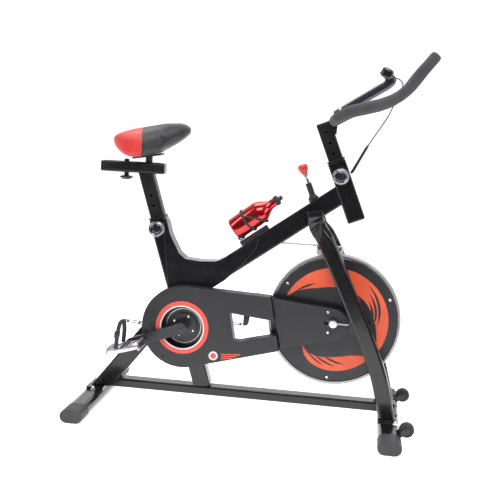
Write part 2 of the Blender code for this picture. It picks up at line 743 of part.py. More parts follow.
# ---------------------------------------------------------------- flywheel
def flywheel():
    bore = AXLE_RADIUS + RUN
    profile = [(bore, HUB_HALF), (HUB_RADIUS, HUB_HALF), (HUB_RADIUS, WEB_HALF),
               (RIM_INNER, WEB_HALF), (RIM_INNER + 0.004, FLY_HALF),
               (FLY_RADIUS - 0.002, FLY_HALF), (FLY_RADIUS, FLY_HALF - 0.002),
               (FLY_RADIUS, 0.002 - FLY_HALF), (FLY_RADIUS - 0.002, -FLY_HALF),
               (RIM_INNER + 0.004, -FLY_HALF), (RIM_INNER, -WEB_HALF),
               (HUB_RADIUS, -WEB_HALF), (HUB_RADIUS, -HUB_HALF), (bore, -HUB_HALF)]
    wheel = turned("flywheel", profile, AXLE, (0, 1, 0), 48)
    finish(wheel, STEEL, 0.25, 1.0)
    for side, label in ((RIGHT, "right"), (LEFT, "left")):
        low = FLY_HALF + GAP
        ring = [(HUB_RADIUS + GAP, low + DISC_THICK), (DISC_RADIUS, low + DISC_THICK),
                (DISC_RADIUS, low), (HUB_RADIUS + GAP, low)]
        disc = turned(f"flywheel_disc_{label}", ring, AXLE, (0, side, 0), 40)
        finish(disc, DARK, 0.35)


def flywheel_axle():
    reach = Vector((0, AXLE_HALF, 0))
    axle = rod("flywheel_axle", AXLE_RADIUS, AXLE - reach, AXLE + reach, 20)
    finish(axle, STEEL, 0.3, 1.0)


def tensioners():
    """An eye bolt on each axle end, pulled forward against the fork leg."""
    for side, label in ((RIGHT, "right"), (LEFT, "left")):
        y = side * (AXLE_HALF - 0.008)
        eye = [(AXLE_RADIUS + GAP, 0.003), (0.0135, 0.003), (0.0135, -0.003),
               (AXLE_RADIUS + GAP, -0.003)]
        ring = turned(f"tensioner_{label}", eye, (AXLE.x, y, AXLE.z), (0, 1, 0), 24)
        start = Vector((AXLE.x + 0.0115, y, AXLE.z))
        join(ring, rod("shank", 0.0026, start, start + Vector((0.036, 0, 0)), 12))
        finish(ring, STEEL, 0.25, 1.0)


def sprocket():
    low, high = CHAIN_Y - SPROCKET_THICK / 2, CHAIN_Y + SPROCKET_THICK / 2
    disc = [(AXLE_RADIUS + RUN, -low), (SPROCKET_RADIUS, -low), (SPROCKET_RADIUS, -high),
            (0.018, -high), (0.018, HUB_HALF + GAP), (AXLE_RADIUS + RUN, HUB_HALF + GAP)]
    finish(turned("sprocket", disc, AXLE, (0, -1, 0), 28), STEEL, 0.35, 1.0)


# ---------------------------------------------------------------- drive
def chain():
    outer = link(flat(BB), RING_RADIUS + GAP + CHAIN_DEPTH, flat(AXLE),
                 SPROCKET_RADIUS + GAP + CHAIN_DEPTH, 28)
    inner = link(flat(BB), RING_RADIUS + 2 * GAP, flat(AXLE), SPROCKET_RADIUS + 2 * GAP, 28)
    low, high = CHAIN_Y - CHAIN_WIDTH / 2, CHAIN_Y + CHAIN_WIDTH / 2
    loop = plate("chain", outer, low, high)
    cut(loop, plate("chain_room", inner, low - 0.01, high + 0.01))
    finish(loop, GREY, 0.5, 0.8)


def chainring():
    low, high = CHAIN_Y - RING_THICK / 2, CHAIN_Y + RING_THICK / 2
    ring = turned("chainring", [(SPINDLE_RADIUS + GAP, -low), (RING_RADIUS, -low),
                                (RING_RADIUS, -high), (SPINDLE_RADIUS + GAP, -high)],
                  BB, (0, -1, 0), 40)
    finish(ring, GREY, 0.3, 0.8)


def bottom_bracket():
    reach = Vector((0, CRANK_Y - 0.001, 0))
    finish(rod("crank_spindle", SPINDLE_RADIUS, BB - reach, BB + reach, 20), STEEL, 0.3, 1.0)
    half, bore = SHELL_HALF, SPINDLE_RADIUS + RUN
    sleeve = [(bore, half), (CARTRIDGE_RADIUS, half), (CARTRIDGE_RADIUS, -half), (bore, -half)]
    finish(turned("bottom_bearing", sleeve, BB, (0, 1, 0), 28), STEEL, 0.35, 1.0)


def pedal_centre(side):
    angle = CRANK_ANGLE if side == RIGHT else CRANK_ANGLE + math.pi
    return BB + Vector((math.cos(angle), 0, math.sin(angle))) * CRANK


def crank_arms():
    for side, label in ((RIGHT, "right"), (LEFT, "left")):
        end = pedal_centre(side)
        inner, outer = CRANK_Y - CRANK_THICK / 2, CRANK_Y + CRANK_THICK / 2
        span = sorted((side * inner, side * outer))
        arm = bevel(plate(f"crank_arm_{label}", link(flat(BB), 0.018, flat(end), 0.0135, 12),
                          *span), 0.002, 1)
        out = Vector((0, side, 0))
        spider = -CHAIN_Y + RING_THICK / 2 + GAP
        root = spider if side == RIGHT else SHELL_HALF + 0.004
        join(arm, rod("boss", 0.016, BB + out * root, BB + out * (inner + 0.003), 24))
        if side == RIGHT:
            join(arm, rod("spider", SPIDER_RADIUS, BB + out * root, BB + out * (root + 0.004), 32))
        cut(arm, rod("spindle_room", SPINDLE_RADIUS + GAP, BB + out * 0.02,
                     BB + out * (CRANK_Y - 0.0005), 20))
        join(arm, rod("flange", 0.0095, end + out * (outer - 0.002), end + out * (outer + 0.006), 16))
        join(arm, rod("pin", PEDAL_PIN, end + out * (outer - 0.002),
                      end + out * (PEDAL_INNER + PEDAL_WIDTH - 0.006), 16))
        finish(arm, STEEL, 0.3, 1.0)


def pedal_part(point, centre, turn):
    """A point of the pedal's own frame (forward, up), in the bike's."""
    x, z = point
    return (centre.x + x * math.cos(turn) - z * math.sin(turn),
            centre.z + x * math.sin(turn) + z * math.cos(turn))


def pedal_body(side, label, turn):
    centre = pedal_centre(side)
    span = sorted((side * PEDAL_INNER, side * (PEDAL_INNER + PEDAL_WIDTH)))
    outline = [pedal_part(p, centre, turn) for p in rounded(PEDAL_LENGTH, PEDAL_HEIGHT, 0.008, 3)]
    body = plate(f"pedal_{label}", outline, *span)
    middle = (span[0] + span[1]) / 2
    for x in (-0.030, 0.030):
        spot = pedal_part((x, 0), centre, turn)
        cut(body, box("window", (0.027, PEDAL_WIDTH - 0.016, 0.06), (spot[0], middle, spot[1]),
                      (0, -turn, 0)))
    out = Vector((0, side, 0))
    cut(body, rod("pin_room", PEDAL_PIN + RUN, centre + out * (PEDAL_INNER - 0.01),
                  centre + out * (PEDAL_INNER + PEDAL_WIDTH - 0.005), 16))
    finish(body, STEEL, 0.3, 1.0)


def toe_cage(side, label, turn):
    """A bent band from the pedal's front over the toes, on a strap arch."""
    centre = pedal_centre(side)
    y = side * (PEDAL_INNER + PEDAL_WIDTH / 2)
    front = PEDAL_LENGTH / 2 + GAP
    line = smooth_path([(front + CAGE_THICK / 2, -0.008), (front + 0.005, 0.004),
                        (front + 0.028, 0.014), (front + 0.040, 0.036), (front + 0.026, 0.057),
                        (0.045, 0.074), (STRAP_LEAN, STRAP_RISE - 0.0005)], 3)
    band = ribbon(line, CAGE_THICK)
    outline = [pedal_part(p, centre, turn) for p in band]
    piece = plate(f"toe_cage_{label}", outline, y - CAGE_BAND / 2, y + CAGE_BAND / 2)
    half = PEDAL_WIDTH / 2 + GAP + CAGE_THICK / 2
    foot_up = PEDAL_PIN + 2 * RUN
    hoop = [(-half, foot_up), (-half, 0.045), (-half + 0.012, 0.070), (-half + 0.026, STRAP_RISE),
            (half - 0.026, STRAP_RISE), (half - 0.012, 0.070), (half, 0.045), (half, foot_up)]
    arch = plate("arch", ribbon(hoop, CAGE_THICK), -STRAP_WIDTH / 2, STRAP_WIDTH / 2, "X")
    lean = Matrix.Translation((-STRAP_BACK, 0, 0))
    lean[0][2] = (STRAP_LEAN + STRAP_BACK) / STRAP_RISE
    spot = Matrix.Translation((centre.x, y, centre.z)) @ Matrix.Rotation(-turn, 4, "Y")
    arch.data.transform(spot @ lean @ arch.matrix_world)
    arch.matrix_world = Matrix.Identity(4)
    join(piece, arch)
    finish(piece, BLACK, 0.5)


def pedals():
    """The right pedal's nose is up a little; the left one hangs with its cage down."""
    for side, label, turn in ((RIGHT, "right", PEDAL_TILT), (LEFT, "left", PEDAL_TILT + math.pi)):
        pedal_body(side, label, turn)
        toe_cage(side, label, turn)


# ---------------------------------------------------------------- chain guard
def guard_outline():
    """The guard's side view, anticlockwise: round behind the crank, cut off ahead."""
    top = (BB.x + GUARD_TOP[0], BB.z + GUARD_TOP[1])
    low = (BB.x + GUARD_FOOT[0], BB.z + GUARD_FOOT[1])
    angles = []
    for spot, side in ((top, 1), (low, -1)):
        run = (spot[0] - BB.x, spot[1] - BB.z)
        swing = math.acos(GUARD_RADIUS / math.hypot(*run))
        angles.append(math.atan2(run[1], run[0]) + side * swing)
    return arc(flat(BB), GUARD_RADIUS, angles[0], angles[1] + 2 * math.pi, 36) + [low, top]


def cover_outline():
    """The front cover's side view, from the guard's front edge round the axle."""
    top = (BB.x + GUARD_TOP[0] + 0.003, BB.z + GUARD_TOP[1] - 0.006)
    low = (BB.x + GUARD_FOOT[0] + 0.003, BB.z + GUARD_FOOT[1] + 0.009)
    middle = (AXLE.x, AXLE.z - COVER_DROP)
    angles = []
    for spot, side in ((top, -1), (low, 1)):
        run = (spot[0] - middle[0], spot[1] - middle[1])
        swing = math.acos(COVER_RADIUS / math.hypot(*run))
        angles.append(math.atan2(run[1], run[0]) + side * swing)
    start = angles[1] % (2 * math.pi) - 2 * math.pi
    return [top, low] + arc(middle, COVER_RADIUS, start, angles[0], 16)


def window_outline():
    """The opening between the chain's two runs, as seen from the side."""
    nose = (BB.x + 0.287, BB.z + 0.021)
    corners = [(BB.x + 0.149, BB.z + 0.059), (BB.x + 0.166, BB.z - 0.030),
               (BB.x + 0.182, BB.z - 0.031)]
    return corners + arc(nose, 0.024, math.radians(-68), math.radians(88), 8)


def guard():
    outline = guard_outline()
    shell = plate("guard_outer", outline, GUARD_FACE, GUARD_BACK)
    room = inset(outline, GUARD_WALL)
    hollow = plate("hollow", room, GUARD_FACE + GUARD_WALL, GUARD_BACK + 0.01)
    cut(hollow, plate("window_wall", inset(window_outline(), -GUARD_WALL),
                      GUARD_FACE - 0.01, GUARD_BACK + 0.02))
    cut(shell, hollow)
    cut(shell, plate("window", window_outline(), GUARD_FACE - 0.01, GUARD_BACK + 0.01))
    cut(shell, rod("eye", GUARD_EYE, BB + Vector((0, GUARD_FACE - 0.01, 0)),
                   BB + Vector((0, GUARD_FACE + 0.01, 0)), 48))
    passage = inset(cover_outline(), GUARD_WALL)
    step = [(x - 0.012, z) for x, z in passage[:2]] + passage[2:]
    cut(shell, plate("passage", step, COVER_FACE + GUARD_WALL, GUARD_BACK + 0.01))
    finish(shell, DARK, 0.5)


def guard_front():
    outline = cover_outline()
    cover = plate("guard_front_cover", outline, COVER_FACE, GUARD_BACK)
    room = inset(outline, GUARD_WALL)
    room = [(x - 0.020, z) for x, z in room[:2]] + room[2:]
    cut(cover, plate("hollow", room, COVER_FACE + GUARD_WALL, GUARD_BACK + 0.01))
    slot = stadium(0.044, 2 * (AXLE_RADIUS + 0.002), (AXLE.x - 0.006, AXLE.z), 8)
    cut(cover, plate("slot", slot, COVER_FACE - 0.01, COVER_FACE + 0.01))
    cut(cover, box("lug_gate", (0.040, LUG_THICK + 0.002, 0.066),
                   (AXLE.x + COVER_RADIUS - 0.003, -LUG_Y, AXLE.z - 0.003)))
    finish(cover, DARK, 0.5)


def guard_back():
    outline = guard_outline()
    low, high = GUARD_BACK + GAP, GUARD_BACK + GAP + PLATE_THICK
    back = plate("guard_inner", outline, low, high)
    join(back, plate("nose", inset([(x - 0.010 * (i < 2), z) for i, (x, z)
                                    in enumerate(cover_outline())], 0), low, high))
    cut(back, plate("window", window_outline(), low - 0.01, high + 0.01))
    across = Vector((0, 0.01, 0))
    for spot, radius in ((BB, SHELL_RADIUS + 0.001), (AXLE, HUB_RADIUS + 0.004)):
        centre = spot + Vector((0, (low + high) / 2, 0))
        cut(back, rod("hole", radius, centre - across, centre + across, 32))
    finish(back, DARK, 0.5)
    trim = turned("guard_ring", [(GUARD_EYE + 0.001, TRIM_THICK), (TRIM_OUTER, TRIM_THICK),
                                 (TRIM_OUTER, 0), (GUARD_EYE + 0.001, 0)],
                  BB + Vector((0, GUARD_FACE - GAP, 0)), (0, -1, 0), 40)
    finish(trim, RED, 0.35)


# ---------------------------------------------------------------- brake
def brake_axis(up):
    """A point on the brake rod, up from the top tube's middle along the rod."""
    return leaning(top_point(BRAKE_ALONG), HEAD_LEAN, up)


def pad_middle():
    """Where the felt pad stands over the rim, under the brake rod."""
    return AXLE.x - 0.0275


def rim_top(x, spare):
    return AXLE.z + math.sqrt((FLY_RADIUS + spare) ** 2 - (x - AXLE.x) ** 2)


def brake():
    x = pad_middle()
    bottom = AXLE.z + FLY_RADIUS - 0.004
    top = BRAKE_TOP
    felt = box("brake_pad", (PAD_LENGTH, PAD_WIDTH, top - bottom), (x, 0, (top + bottom) / 2))
    reach = Vector((0, 0.05, 0))
    cut(felt, rod("rim_room", FLY_RADIUS + BRAKE_GAP, AXLE - reach, AXLE + reach, 96))
    finish(felt, FELT, 0.95)
    start = x - ARM_BACK
    leaf = box("brake_arm", (PAD_LENGTH / 2 + ARM_BACK, 0.024, ARM_THICK),
               ((start + x + PAD_LENGTH / 2) / 2, 0, LEAF_Z))
    finish(leaf, STEEL, 0.35, 1.0)


def brake_rod():
    tube_top = TOP_DEPTH / 2 / math.cos(math.pi / 2 - TOP_RISE - HEAD_LEAN)
    foot_z = LEAF_Z + ARM_THICK / 2 + GAP
    axis = brake_axis(0)
    foot_up = (foot_z + 0.0022 - axis.z) / math.cos(HEAD_LEAN)
    knob_up = tube_top + BRAKE_KNOB_UP
    piece = rod("brake_rod", ROD_RADIUS, brake_axis(foot_up), brake_axis(knob_up - GAP), 16)
    finish(piece, STEEL, 0.15, 1.0)
    guide_up = tube_top + 0.004
    profile = [(ROD_RADIUS + RUN, GUIDE_LENGTH), (GUIDE_RADIUS - 0.001, GUIDE_LENGTH),
               (GUIDE_RADIUS, GUIDE_LENGTH - 0.002), (GUIDE_RADIUS, 0.010), (0.016, 0.0),
               (0.016, -0.020), (ROD_RADIUS + RUN, -0.020)]
    lean = (-math.sin(HEAD_LEAN), 0, math.cos(HEAD_LEAN))
    guide = turned("brake_guide", profile, brake_axis(guide_up), lean, 24)
    cut(guide, top_tube_block("top_room", GAP))
    finish(guide, BLACK, 0.5)
    knob = [(0, 0.032), (0.010, 0.031), (BRAKE_KNOB_RADIUS - 0.002, 0.027),
            (BRAKE_KNOB_RADIUS, 0.022), (BRAKE_KNOB_RADIUS - 0.002, 0.016), (0.010, 0.006),
            (0.008, 0.0), (0, 0.0)]
    finish(turned("brake_knob", knob, brake_axis(knob_up), lean, 24), RED, 0.4)


# ---------------------------------------------------------------- seat
def slider_middle():
    up = (SLIDER_Z - BB_Z) / math.cos(SEAT_LEAN)
    return Vector((seat_point(up).x - SLIDER_BACK, 0, SLIDER_Z))


def saddle_point(forward, up):
    """A point of the saddle's own frame, tilted nose up."""
    middle = slider_middle()
    datum = Vector((middle.x + STEM_FORWARD, 0, SLIDER_Z + SLIDER_HEIGHT / 2 + SADDLE_UP))
    return leaning(datum, -SADDLE_TILT, 0) + Vector((
        forward * math.cos(SADDLE_TILT) - up * math.sin(SADDLE_TILT), 0,
        forward * math.sin(SADDLE_TILT) + up * math.cos(SADDLE_TILT)))


def post_holes(piece, point_at, pin_up, low, high):
    """The row of pin holes down a post's right side."""
    first = math.ceil((low - pin_up) / HOLE_PITCH)
    last = math.floor((high - pin_up) / HOLE_PITCH)
    for k in range(first, last + 1):
        spot = point_at(pin_up + k * HOLE_PITCH, 0, -POST_WIDTH / 2)
        cut(piece, rod("hole", PIN_RADIUS + 0.001, spot - Vector((0, 0.01, 0)),
                       spot + Vector((0, 0.010, 0)), 12))


def seat_post():
    top_up = (SLIDER_Z - BB_Z) / math.cos(SEAT_LEAN)
    post = bevel(beam("seat_post", seat_point(SEAT_POST_FOOT), seat_point(top_up), POST_DEPTH,
                      POST_WIDTH), 0.004)
    under = SLIDER_Z - SLIDER_HEIGHT / 2 - GAP
    cut(post, box("slider_room", (0.3, 0.1, 0.1), (seat_point(top_up).x, 0, under + 0.05)))
    post_holes(post, seat_point, SEAT_PIN_UP, SEAT_POST_FOOT + 0.015, top_up - 0.070)
    finish(post, BLACK, 0.3)


def slider():
    middle = slider_middle()
    outer = (SLIDER_LENGTH, SLIDER_WIDTH, SLIDER_HEIGHT)
    tube_piece = bevel(box("slider_tube", outer, middle), 0.006, 2)
    inside = [side - 2 * SLIDER_WALL for side in outer]
    cut(tube_piece, box("hollow", inside, middle))
    slot = stadium(0.084, 2 * STEM_RADIUS + 0.002, (middle.x + STEM_FORWARD - 0.001, 0), 8)
    cut(tube_piece, plate("slot", slot, middle.z, middle.z + SLIDER_HEIGHT, "Z"))
    bolt = Vector((middle.x - CLAMP_BACK, 0, middle.z))
    cut(tube_piece, rod("bolt_room", 0.005 + RUN, bolt - Vector((0, 0, 0.04)),
                        bolt + Vector((0, 0, 0.04)), 16))
    finish(tube_piece, BLACK, 0.35)
    half = SLIDER_HEIGHT / 2
    profile = [(0, half + 0.008), (0.0055, half + 0.008), (0.008, half + 0.005),
               (0.008, half + GAP), (0.005, half + GAP), (0.005, -half - GAP),
               (0.0075, -half - GAP), (0.0075, -half - 0.010), (0.020, -half - 0.013),
               (0.021, -half - 0.016), (0.014, -half - 0.022), (0, -half - 0.024)]
    finish(turned("slider_knob", profile, bolt, (0, 0, 1), 20), BLACK, 0.45)


def saddle_base():
    """The saddle's stiff base, on the stem of a block inside the slider tube."""
    middle = slider_middle()
    spot = Vector((middle.x + STEM_FORWARD, 0, middle.z))
    inner = (SLIDER_WIDTH - 2 * SLIDER_WALL - 2 * SLIDE, SLIDER_HEIGHT - 2 * SLIDER_WALL - 2 * SLIDE)
    block = box("saddle_base", (0.040, *inner), spot)
    top = saddle_point(0, 0).z
    join(block, rod("stem", STEM_RADIUS, spot, Vector((spot.x, 0, top + 0.003)), 20))
    join(block, saddle_slab("slab"))
    finish(block, BLACK, 0.45)


def saddle_slab(name):
    """The base's tapered plate, in the saddle's own frame."""
    outline = [(-0.046, -0.032), (-0.034, -0.044), (-0.010, -0.040), (0.030, -0.022),
               (0.046, -0.016), (0.046, 0.016), (0.030, 0.022), (-0.010, 0.040),
               (-0.034, 0.044), (-0.046, 0.032)]
    slab = plate(name, outline, 0, BASE_THICK, "Z")
    slab.matrix_world = (Matrix.Translation(saddle_point(0, 0))
                         @ Matrix.Rotation(-SADDLE_TILT, 4, "Y")
                         @ Matrix.Translation((0, 0, BASE_THICK / 2)))
    return slab


SADDLE_SECTIONS = [       # forward, half width, underside, top
    (-0.096, 0.045, 0.052, 0.074), (-0.086, 0.075, 0.036, 0.084),
    (-0.056, 0.094, 0.016, 0.090), (-0.020, 0.088, 0.0058, 0.092),
    (0.020, 0.062, 0.0058, 0.094), (0.056, 0.043, 0.010, 0.096),
    (0.094, 0.034, 0.024, 0.097), (0.130, 0.028, 0.042, 0.092),
    (0.150, 0.014, 0.058, 0.074)]


def saddle():
    """The padded top: a loft of round-cornered sections from tail to nose."""
    work = bmesh.new()
    rings = []
    for forward, half, low, high in SADDLE_SECTIONS:
        ring = []
        for i in range(16):
            angle = 2 * math.pi * (i + 0.5) / 16
            across = abs(math.cos(angle)) ** 0.6 * math.copysign(1, math.cos(angle)) * half
            rise = abs(math.sin(angle)) ** 0.6 * math.copysign(1, math.sin(angle))
            point = saddle_point(forward, (low + high) / 2 + rise * (high - low) / 2)
            ring.append(work.verts.new((point.x, across, point.z)))
        rings.append(ring)
    for first, second in zip(rings, rings[1:]):
        for i in range(16):
            work.faces.new((first[i], first[i - 1], second[i - 1], second[i]))
    work.faces.new(rings[0])
    work.faces.new(rings[-1][::-1])
    bmesh.ops.recalc_face_normals(work, faces=work.faces)
    mesh = bpy.data.meshes.new("saddle")
    work.to_mesh(mesh)
    work.free()
    finish(place("saddle", mesh), RED, 0.5)


# ---------------------------------------------------------------- handlebar
def bar_root():
    """The handlebar's middle, against the front of its post's top."""
    return head_point(HEAD_POST_TOP - 0.008, POST_DEPTH / 2 + GAP + BAR_RADIUS)


def bar_line(side):
    """The handlebar's middle from the post outwards, forward and up to the horn."""
    root = bar_root()
    shape = [(0.000, 0.000, 0.000), (0.000, 0.050, 0.001), (0.004, 0.105, 0.004),
             (0.016, 0.165, 0.012), (0.046, 0.207, 0.029), (0.095, BAR_HALF, 0.043),
             (0.138, BAR_HALF, 0.056), (0.175, BAR_HALF, 0.074), (0.208, BAR_HALF, 0.104),
             (0.242, BAR_HALF, 0.152), (0.272, BAR_HALF, 0.192)]
    return [(root.x + x, side * y, root.z + z) for x, y, z in shape]


def console_line():
    """The console arm's two ends, from the handlebar's middle."""
    root = bar_root()
    return root + Vector((-0.001, 0, 0.017)), root + Vector((0.156, 0, 0.121))


def handlebar():
    whole = smooth_path(bar_line(RIGHT)[:0:-1] + bar_line(LEFT), 3)
    bar = to_mesh(tube("handlebar", whole, BAR_RADIUS))
    join(bar, rod("console_arm", ARM_RADIUS, *console_line(), 20))
    low, high = HEAD_POST_TOP - 0.048, HEAD_POST_TOP - 0.006
    face = POST_DEPTH / 2 + GAP
    wedge = [head_point(low, face), head_point(low, face + 0.004),
             head_point(high, face + 2 * BAR_RADIUS - 0.002), head_point(high, face)]
    half = POST_WIDTH / 2 - 0.004
    join(bar, plate("wedge", [flat(p) for p in wedge], -half, half))
    finish(bar, BLACK, 0.25)
    for side, label in ((RIGHT, "right"), (LEFT, "left")):
        line = whole if side == LEFT else whole[::-1]
        line = line[len(line) // 2:]
        start = next(i for i, p in enumerate(line) if abs(p.y) > 0.035)
        ahead = (line[-1] - line[-2]).normalized()
        tip = line[-1] + ahead * 0.004
        grip = to_mesh(tube(f"grip_{label}", line[start:-1] + [tip], GRIP_RADIUS))
        ends = [whole[0] + (whole[0] - whole[1]).normalized() * GAP,
                whole[-1] + (whole[-1] - whole[-2]).normalized() * GAP]
        room = [ends[0]] + whole[1:-1] + [ends[1]]
        cut(grip, to_mesh(tube("bar_room", room, BAR_RADIUS + GAP)))
        finish(grip, GREY, 0.9)


def handlebar_post():
    post = bevel(beam("handlebar_post", head_point(HEAD_POST_FOOT), head_point(HEAD_POST_TOP),
                      POST_DEPTH, POST_WIDTH), 0.004)
    post_holes(post, head_point, HEAD_PIN_UP, HEAD_POST_FOOT + 0.015, HEAD_POST_TOP - 0.030)
    finish(post, BLACK, 0.3)


def console():
    """A small display pod on the end of its arm, facing back and up."""
    start, end = console_line()
    facing = Vector((-0.88, 0, 0.47)).normalized()
    middle = end + Vector((-0.010, 0, 0.027))
    tilt = math.atan2(-facing.z, facing.x)
    pod = bevel(box("console", (POD_LENGTH, POD_WIDTH, POD_HEIGHT), middle,
                    (0, tilt, 0)), 0.009, 2)
    arm = rod("arm_room", ARM_RADIUS + GAP, start, end + (end - start).normalized() * GAP, 20)
    finish(cut(pod, arm), BLACK, 0.4)


LEAD_RADIUS = 0.0018
LEAD_UP = 0.14455             # where the lead leaves, along the head tube
LEAD_ROUTE = [            # share of the way from the head tube to the pod, forward, across, up
    (0.00, 0.0000, 0.000, 0.0000), (0.05, 0.0034, 0.000, 0.0002),
    (0.16, 0.0072, -0.002, -0.0011), (0.32, 0.0127, -0.004, -0.0043),
    (0.45, 0.0190, -0.006, -0.0081), (0.57, 0.0263, -0.006, -0.0102),
    (0.70, 0.0327, -0.005, -0.0120), (0.83, 0.0341, -0.003, -0.0129),
    (0.92, 0.0363, 0.000, -0.0127), (0.99, 0.0375, 0.002, -0.0120),
    (1.00, 0.0375, 0.002, 0.0002), (1.00, 0.0285, 0.001, 0.0112),
    (1.00, 0.0185, 0.000, 0.0147), (1.00, 0.0090, 0.000, 0.0170)]


def lead():
    """The display's lead, from the head tube's front up to the pod."""
    start = head_point(LEAD_UP, TUBE_DEPTH / 2 + 0.0026)
    way = console_line()[1] - start
    route = [start + way * share + Vector((x, y, z)) for share, x, y, z in LEAD_ROUTE]
    cord = tube("console_lead", smooth_path(route, 3), LEAD_RADIUS, 1)
    finish(cord, BLACK, 0.5)


# ---------------------------------------------------------------- bottle
def bottle_point(along, up=0.0):
    """A point in the bottle's own frame: along its axis from the base, and up."""
    return top_point(BOTTLE_ALONG, BOTTLE_UP) + Vector((
        along * math.cos(BOTTLE_RISE) - up * math.sin(BOTTLE_RISE), 0,
        along * math.sin(BOTTLE_RISE) + up * math.cos(BOTTLE_RISE)))


def bottle():
    axis = (math.cos(BOTTLE_RISE), 0, math.sin(BOTTLE_RISE))
    r, length = BOTTLE_RADIUS, BOTTLE_LENGTH
    profile = [(0, length + 0.008), (0.0135, length + 0.008), (0.0145, length - 0.004),
               (0.019, length - 0.018), (0.029, length - 0.032), (r, length - 0.050),
               (r, 0.005), (r - 0.004, 0.0), (0, 0.0)]
    finish(turned("bottle", profile, bottle_point(0), axis, 32), RED, 0.25, 0.7)
    low = length + 0.008 + GAP
    cap = [(0, low + CAP_HEIGHT), (0.0065, low + CAP_HEIGHT), (0.0075, low + CAP_HEIGHT - 0.010),
           (0.0155, low + CAP_HEIGHT - 0.013), (0.0160, low), (0, low)]
    finish(turned("bottle_cap", cap, bottle_point(0), axis, 24), BLACK, 0.5)


def bottle_cage():
    """A strip on the top tube with a shelf behind the bottle and two arms round it."""
    inner, outer = BOTTLE_RADIUS + 0.0006, BOTTLE_RADIUS + 0.0036
    start, end = bottle_point(-0.0045), bottle_point(0.107)
    cage = rod("bottle_cage", outer, start, end, 32)
    for along in (0.037, 0.079):
        spot = bottle_point(along, outer * 0.62)
        cut(cage, box("gap", (0.028, 4 * outer, outer * 2.2), spot, (0, -BOTTLE_RISE, 0)))
    foot_block = box("foot", (0.100, 0.018, 0.016),
                     top_point(BOTTLE_ALONG + 0.045, TOP_DEPTH / 2 + 0.0083), (0, -TOP_RISE, 0))
    join(cage, foot_block)
    cut(cage, rod("bottle_room", inner, bottle_point(-0.0006), bottle_point(0.20), 32))
    cut(cage, top_tube_block("top_room", GAP))
    finish(cage, BLACK, 0.5)


feet()
foot_caps()
transport_wheels()
frame_tubes()
gusset()
bushings()
pop_pins()
fork_legs()
flywheel()
flywheel_axle()
tensioners()
sprocket()
chain()
chainring()
bottom_bracket()
crank_arms()
pedals()
guard()
guard_front()
guard_back()
brake()
brake_rod()
seat_post()
slider()
saddle_base()
saddle()
handlebar()
handlebar_post()
console()
lead()
bottle()
bottle_cage()
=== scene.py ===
"""How the indoor spin bike looks: materials, soft parts, small fittings, camera and light.

Metres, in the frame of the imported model: +X forward, +Y to the rider's left, +Z up.
"""

import json
import math

import bmesh
import bpy
import numpy as np
from mathutils import Matrix, Vector
from mathutils.bvhtree import BVHTree


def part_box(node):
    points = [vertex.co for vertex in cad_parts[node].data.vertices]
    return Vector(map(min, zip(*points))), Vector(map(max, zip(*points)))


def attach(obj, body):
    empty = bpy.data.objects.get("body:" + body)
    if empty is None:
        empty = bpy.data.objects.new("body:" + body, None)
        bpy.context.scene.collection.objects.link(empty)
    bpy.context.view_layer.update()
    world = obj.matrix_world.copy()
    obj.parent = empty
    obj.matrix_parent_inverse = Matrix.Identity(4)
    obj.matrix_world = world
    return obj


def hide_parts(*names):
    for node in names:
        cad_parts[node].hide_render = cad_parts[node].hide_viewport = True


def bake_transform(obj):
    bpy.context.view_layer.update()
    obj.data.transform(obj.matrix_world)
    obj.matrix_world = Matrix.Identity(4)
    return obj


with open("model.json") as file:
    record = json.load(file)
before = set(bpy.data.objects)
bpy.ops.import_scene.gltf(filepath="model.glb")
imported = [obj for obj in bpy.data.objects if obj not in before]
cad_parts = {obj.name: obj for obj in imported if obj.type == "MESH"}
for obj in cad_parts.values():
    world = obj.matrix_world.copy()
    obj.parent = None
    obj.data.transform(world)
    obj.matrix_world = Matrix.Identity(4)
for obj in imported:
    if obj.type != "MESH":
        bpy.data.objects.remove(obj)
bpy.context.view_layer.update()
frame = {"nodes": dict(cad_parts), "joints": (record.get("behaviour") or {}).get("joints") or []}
NODES = frame["nodes"]
JOINTS = {joint["name"]: joint for joint in frame["joints"]}
RIGHT, LEFT = -1, 1
SIDES = ((RIGHT, "right"), (LEFT, "left"))


def joint_at(name):
    return Vector(JOINTS[name]["pos_m"])


def joint_axis(name):
    return Vector(JOINTS[name]["axis"])


def facing(place, axis, up):
    """A matrix that stands a shape at a place with its Z along the axis."""
    return Matrix.Translation(place) @ Vector(axis).to_track_quat("Z", up).to_matrix().to_4x4()


AXLE = joint_at("flywheel_spin")
CRANK = joint_at("crank_spin")
SEAT_AXIS = joint_axis("seat_post_slide")
HEAD_AXIS = joint_axis("handlebar_slide")
BOTTLE_AXIS = joint_axis("bottle_pull")
TILT = math.radians(16)                     # the right pedal's nose-up tilt

# ---------------------------------------------------------------- camera and light
scene = bpy.context.scene
scene.view_settings.view_transform = "Standard"
scene.view_settings.exposure = 0.0
EYE = (0.335, -2.624, 0.950)
LENS, SENSOR = 61.2, 36
YAW, PITCH, ROLL = math.radians(7.484), math.radians(9.032), math.radians(3.005)
LIGHTS = (          # name, place, target, size, power
    ("key", (0.5, -2.6, 3.3), (0, 0, 0.5), (2.4, 1.0), 95),
    ("strip_left", (-2.4, -1.6, 1.9), (-0.2, 0, 0.6), (0.35, 2.2), 26),
    ("strip_right", (2.6, -1.2, 1.8), (0.2, 0, 0.6), (0.35, 2.0), 24),
    ("top", (0, 0.5, 3.0), (0, 0, 0.5), (2.6, 1.2), 60))


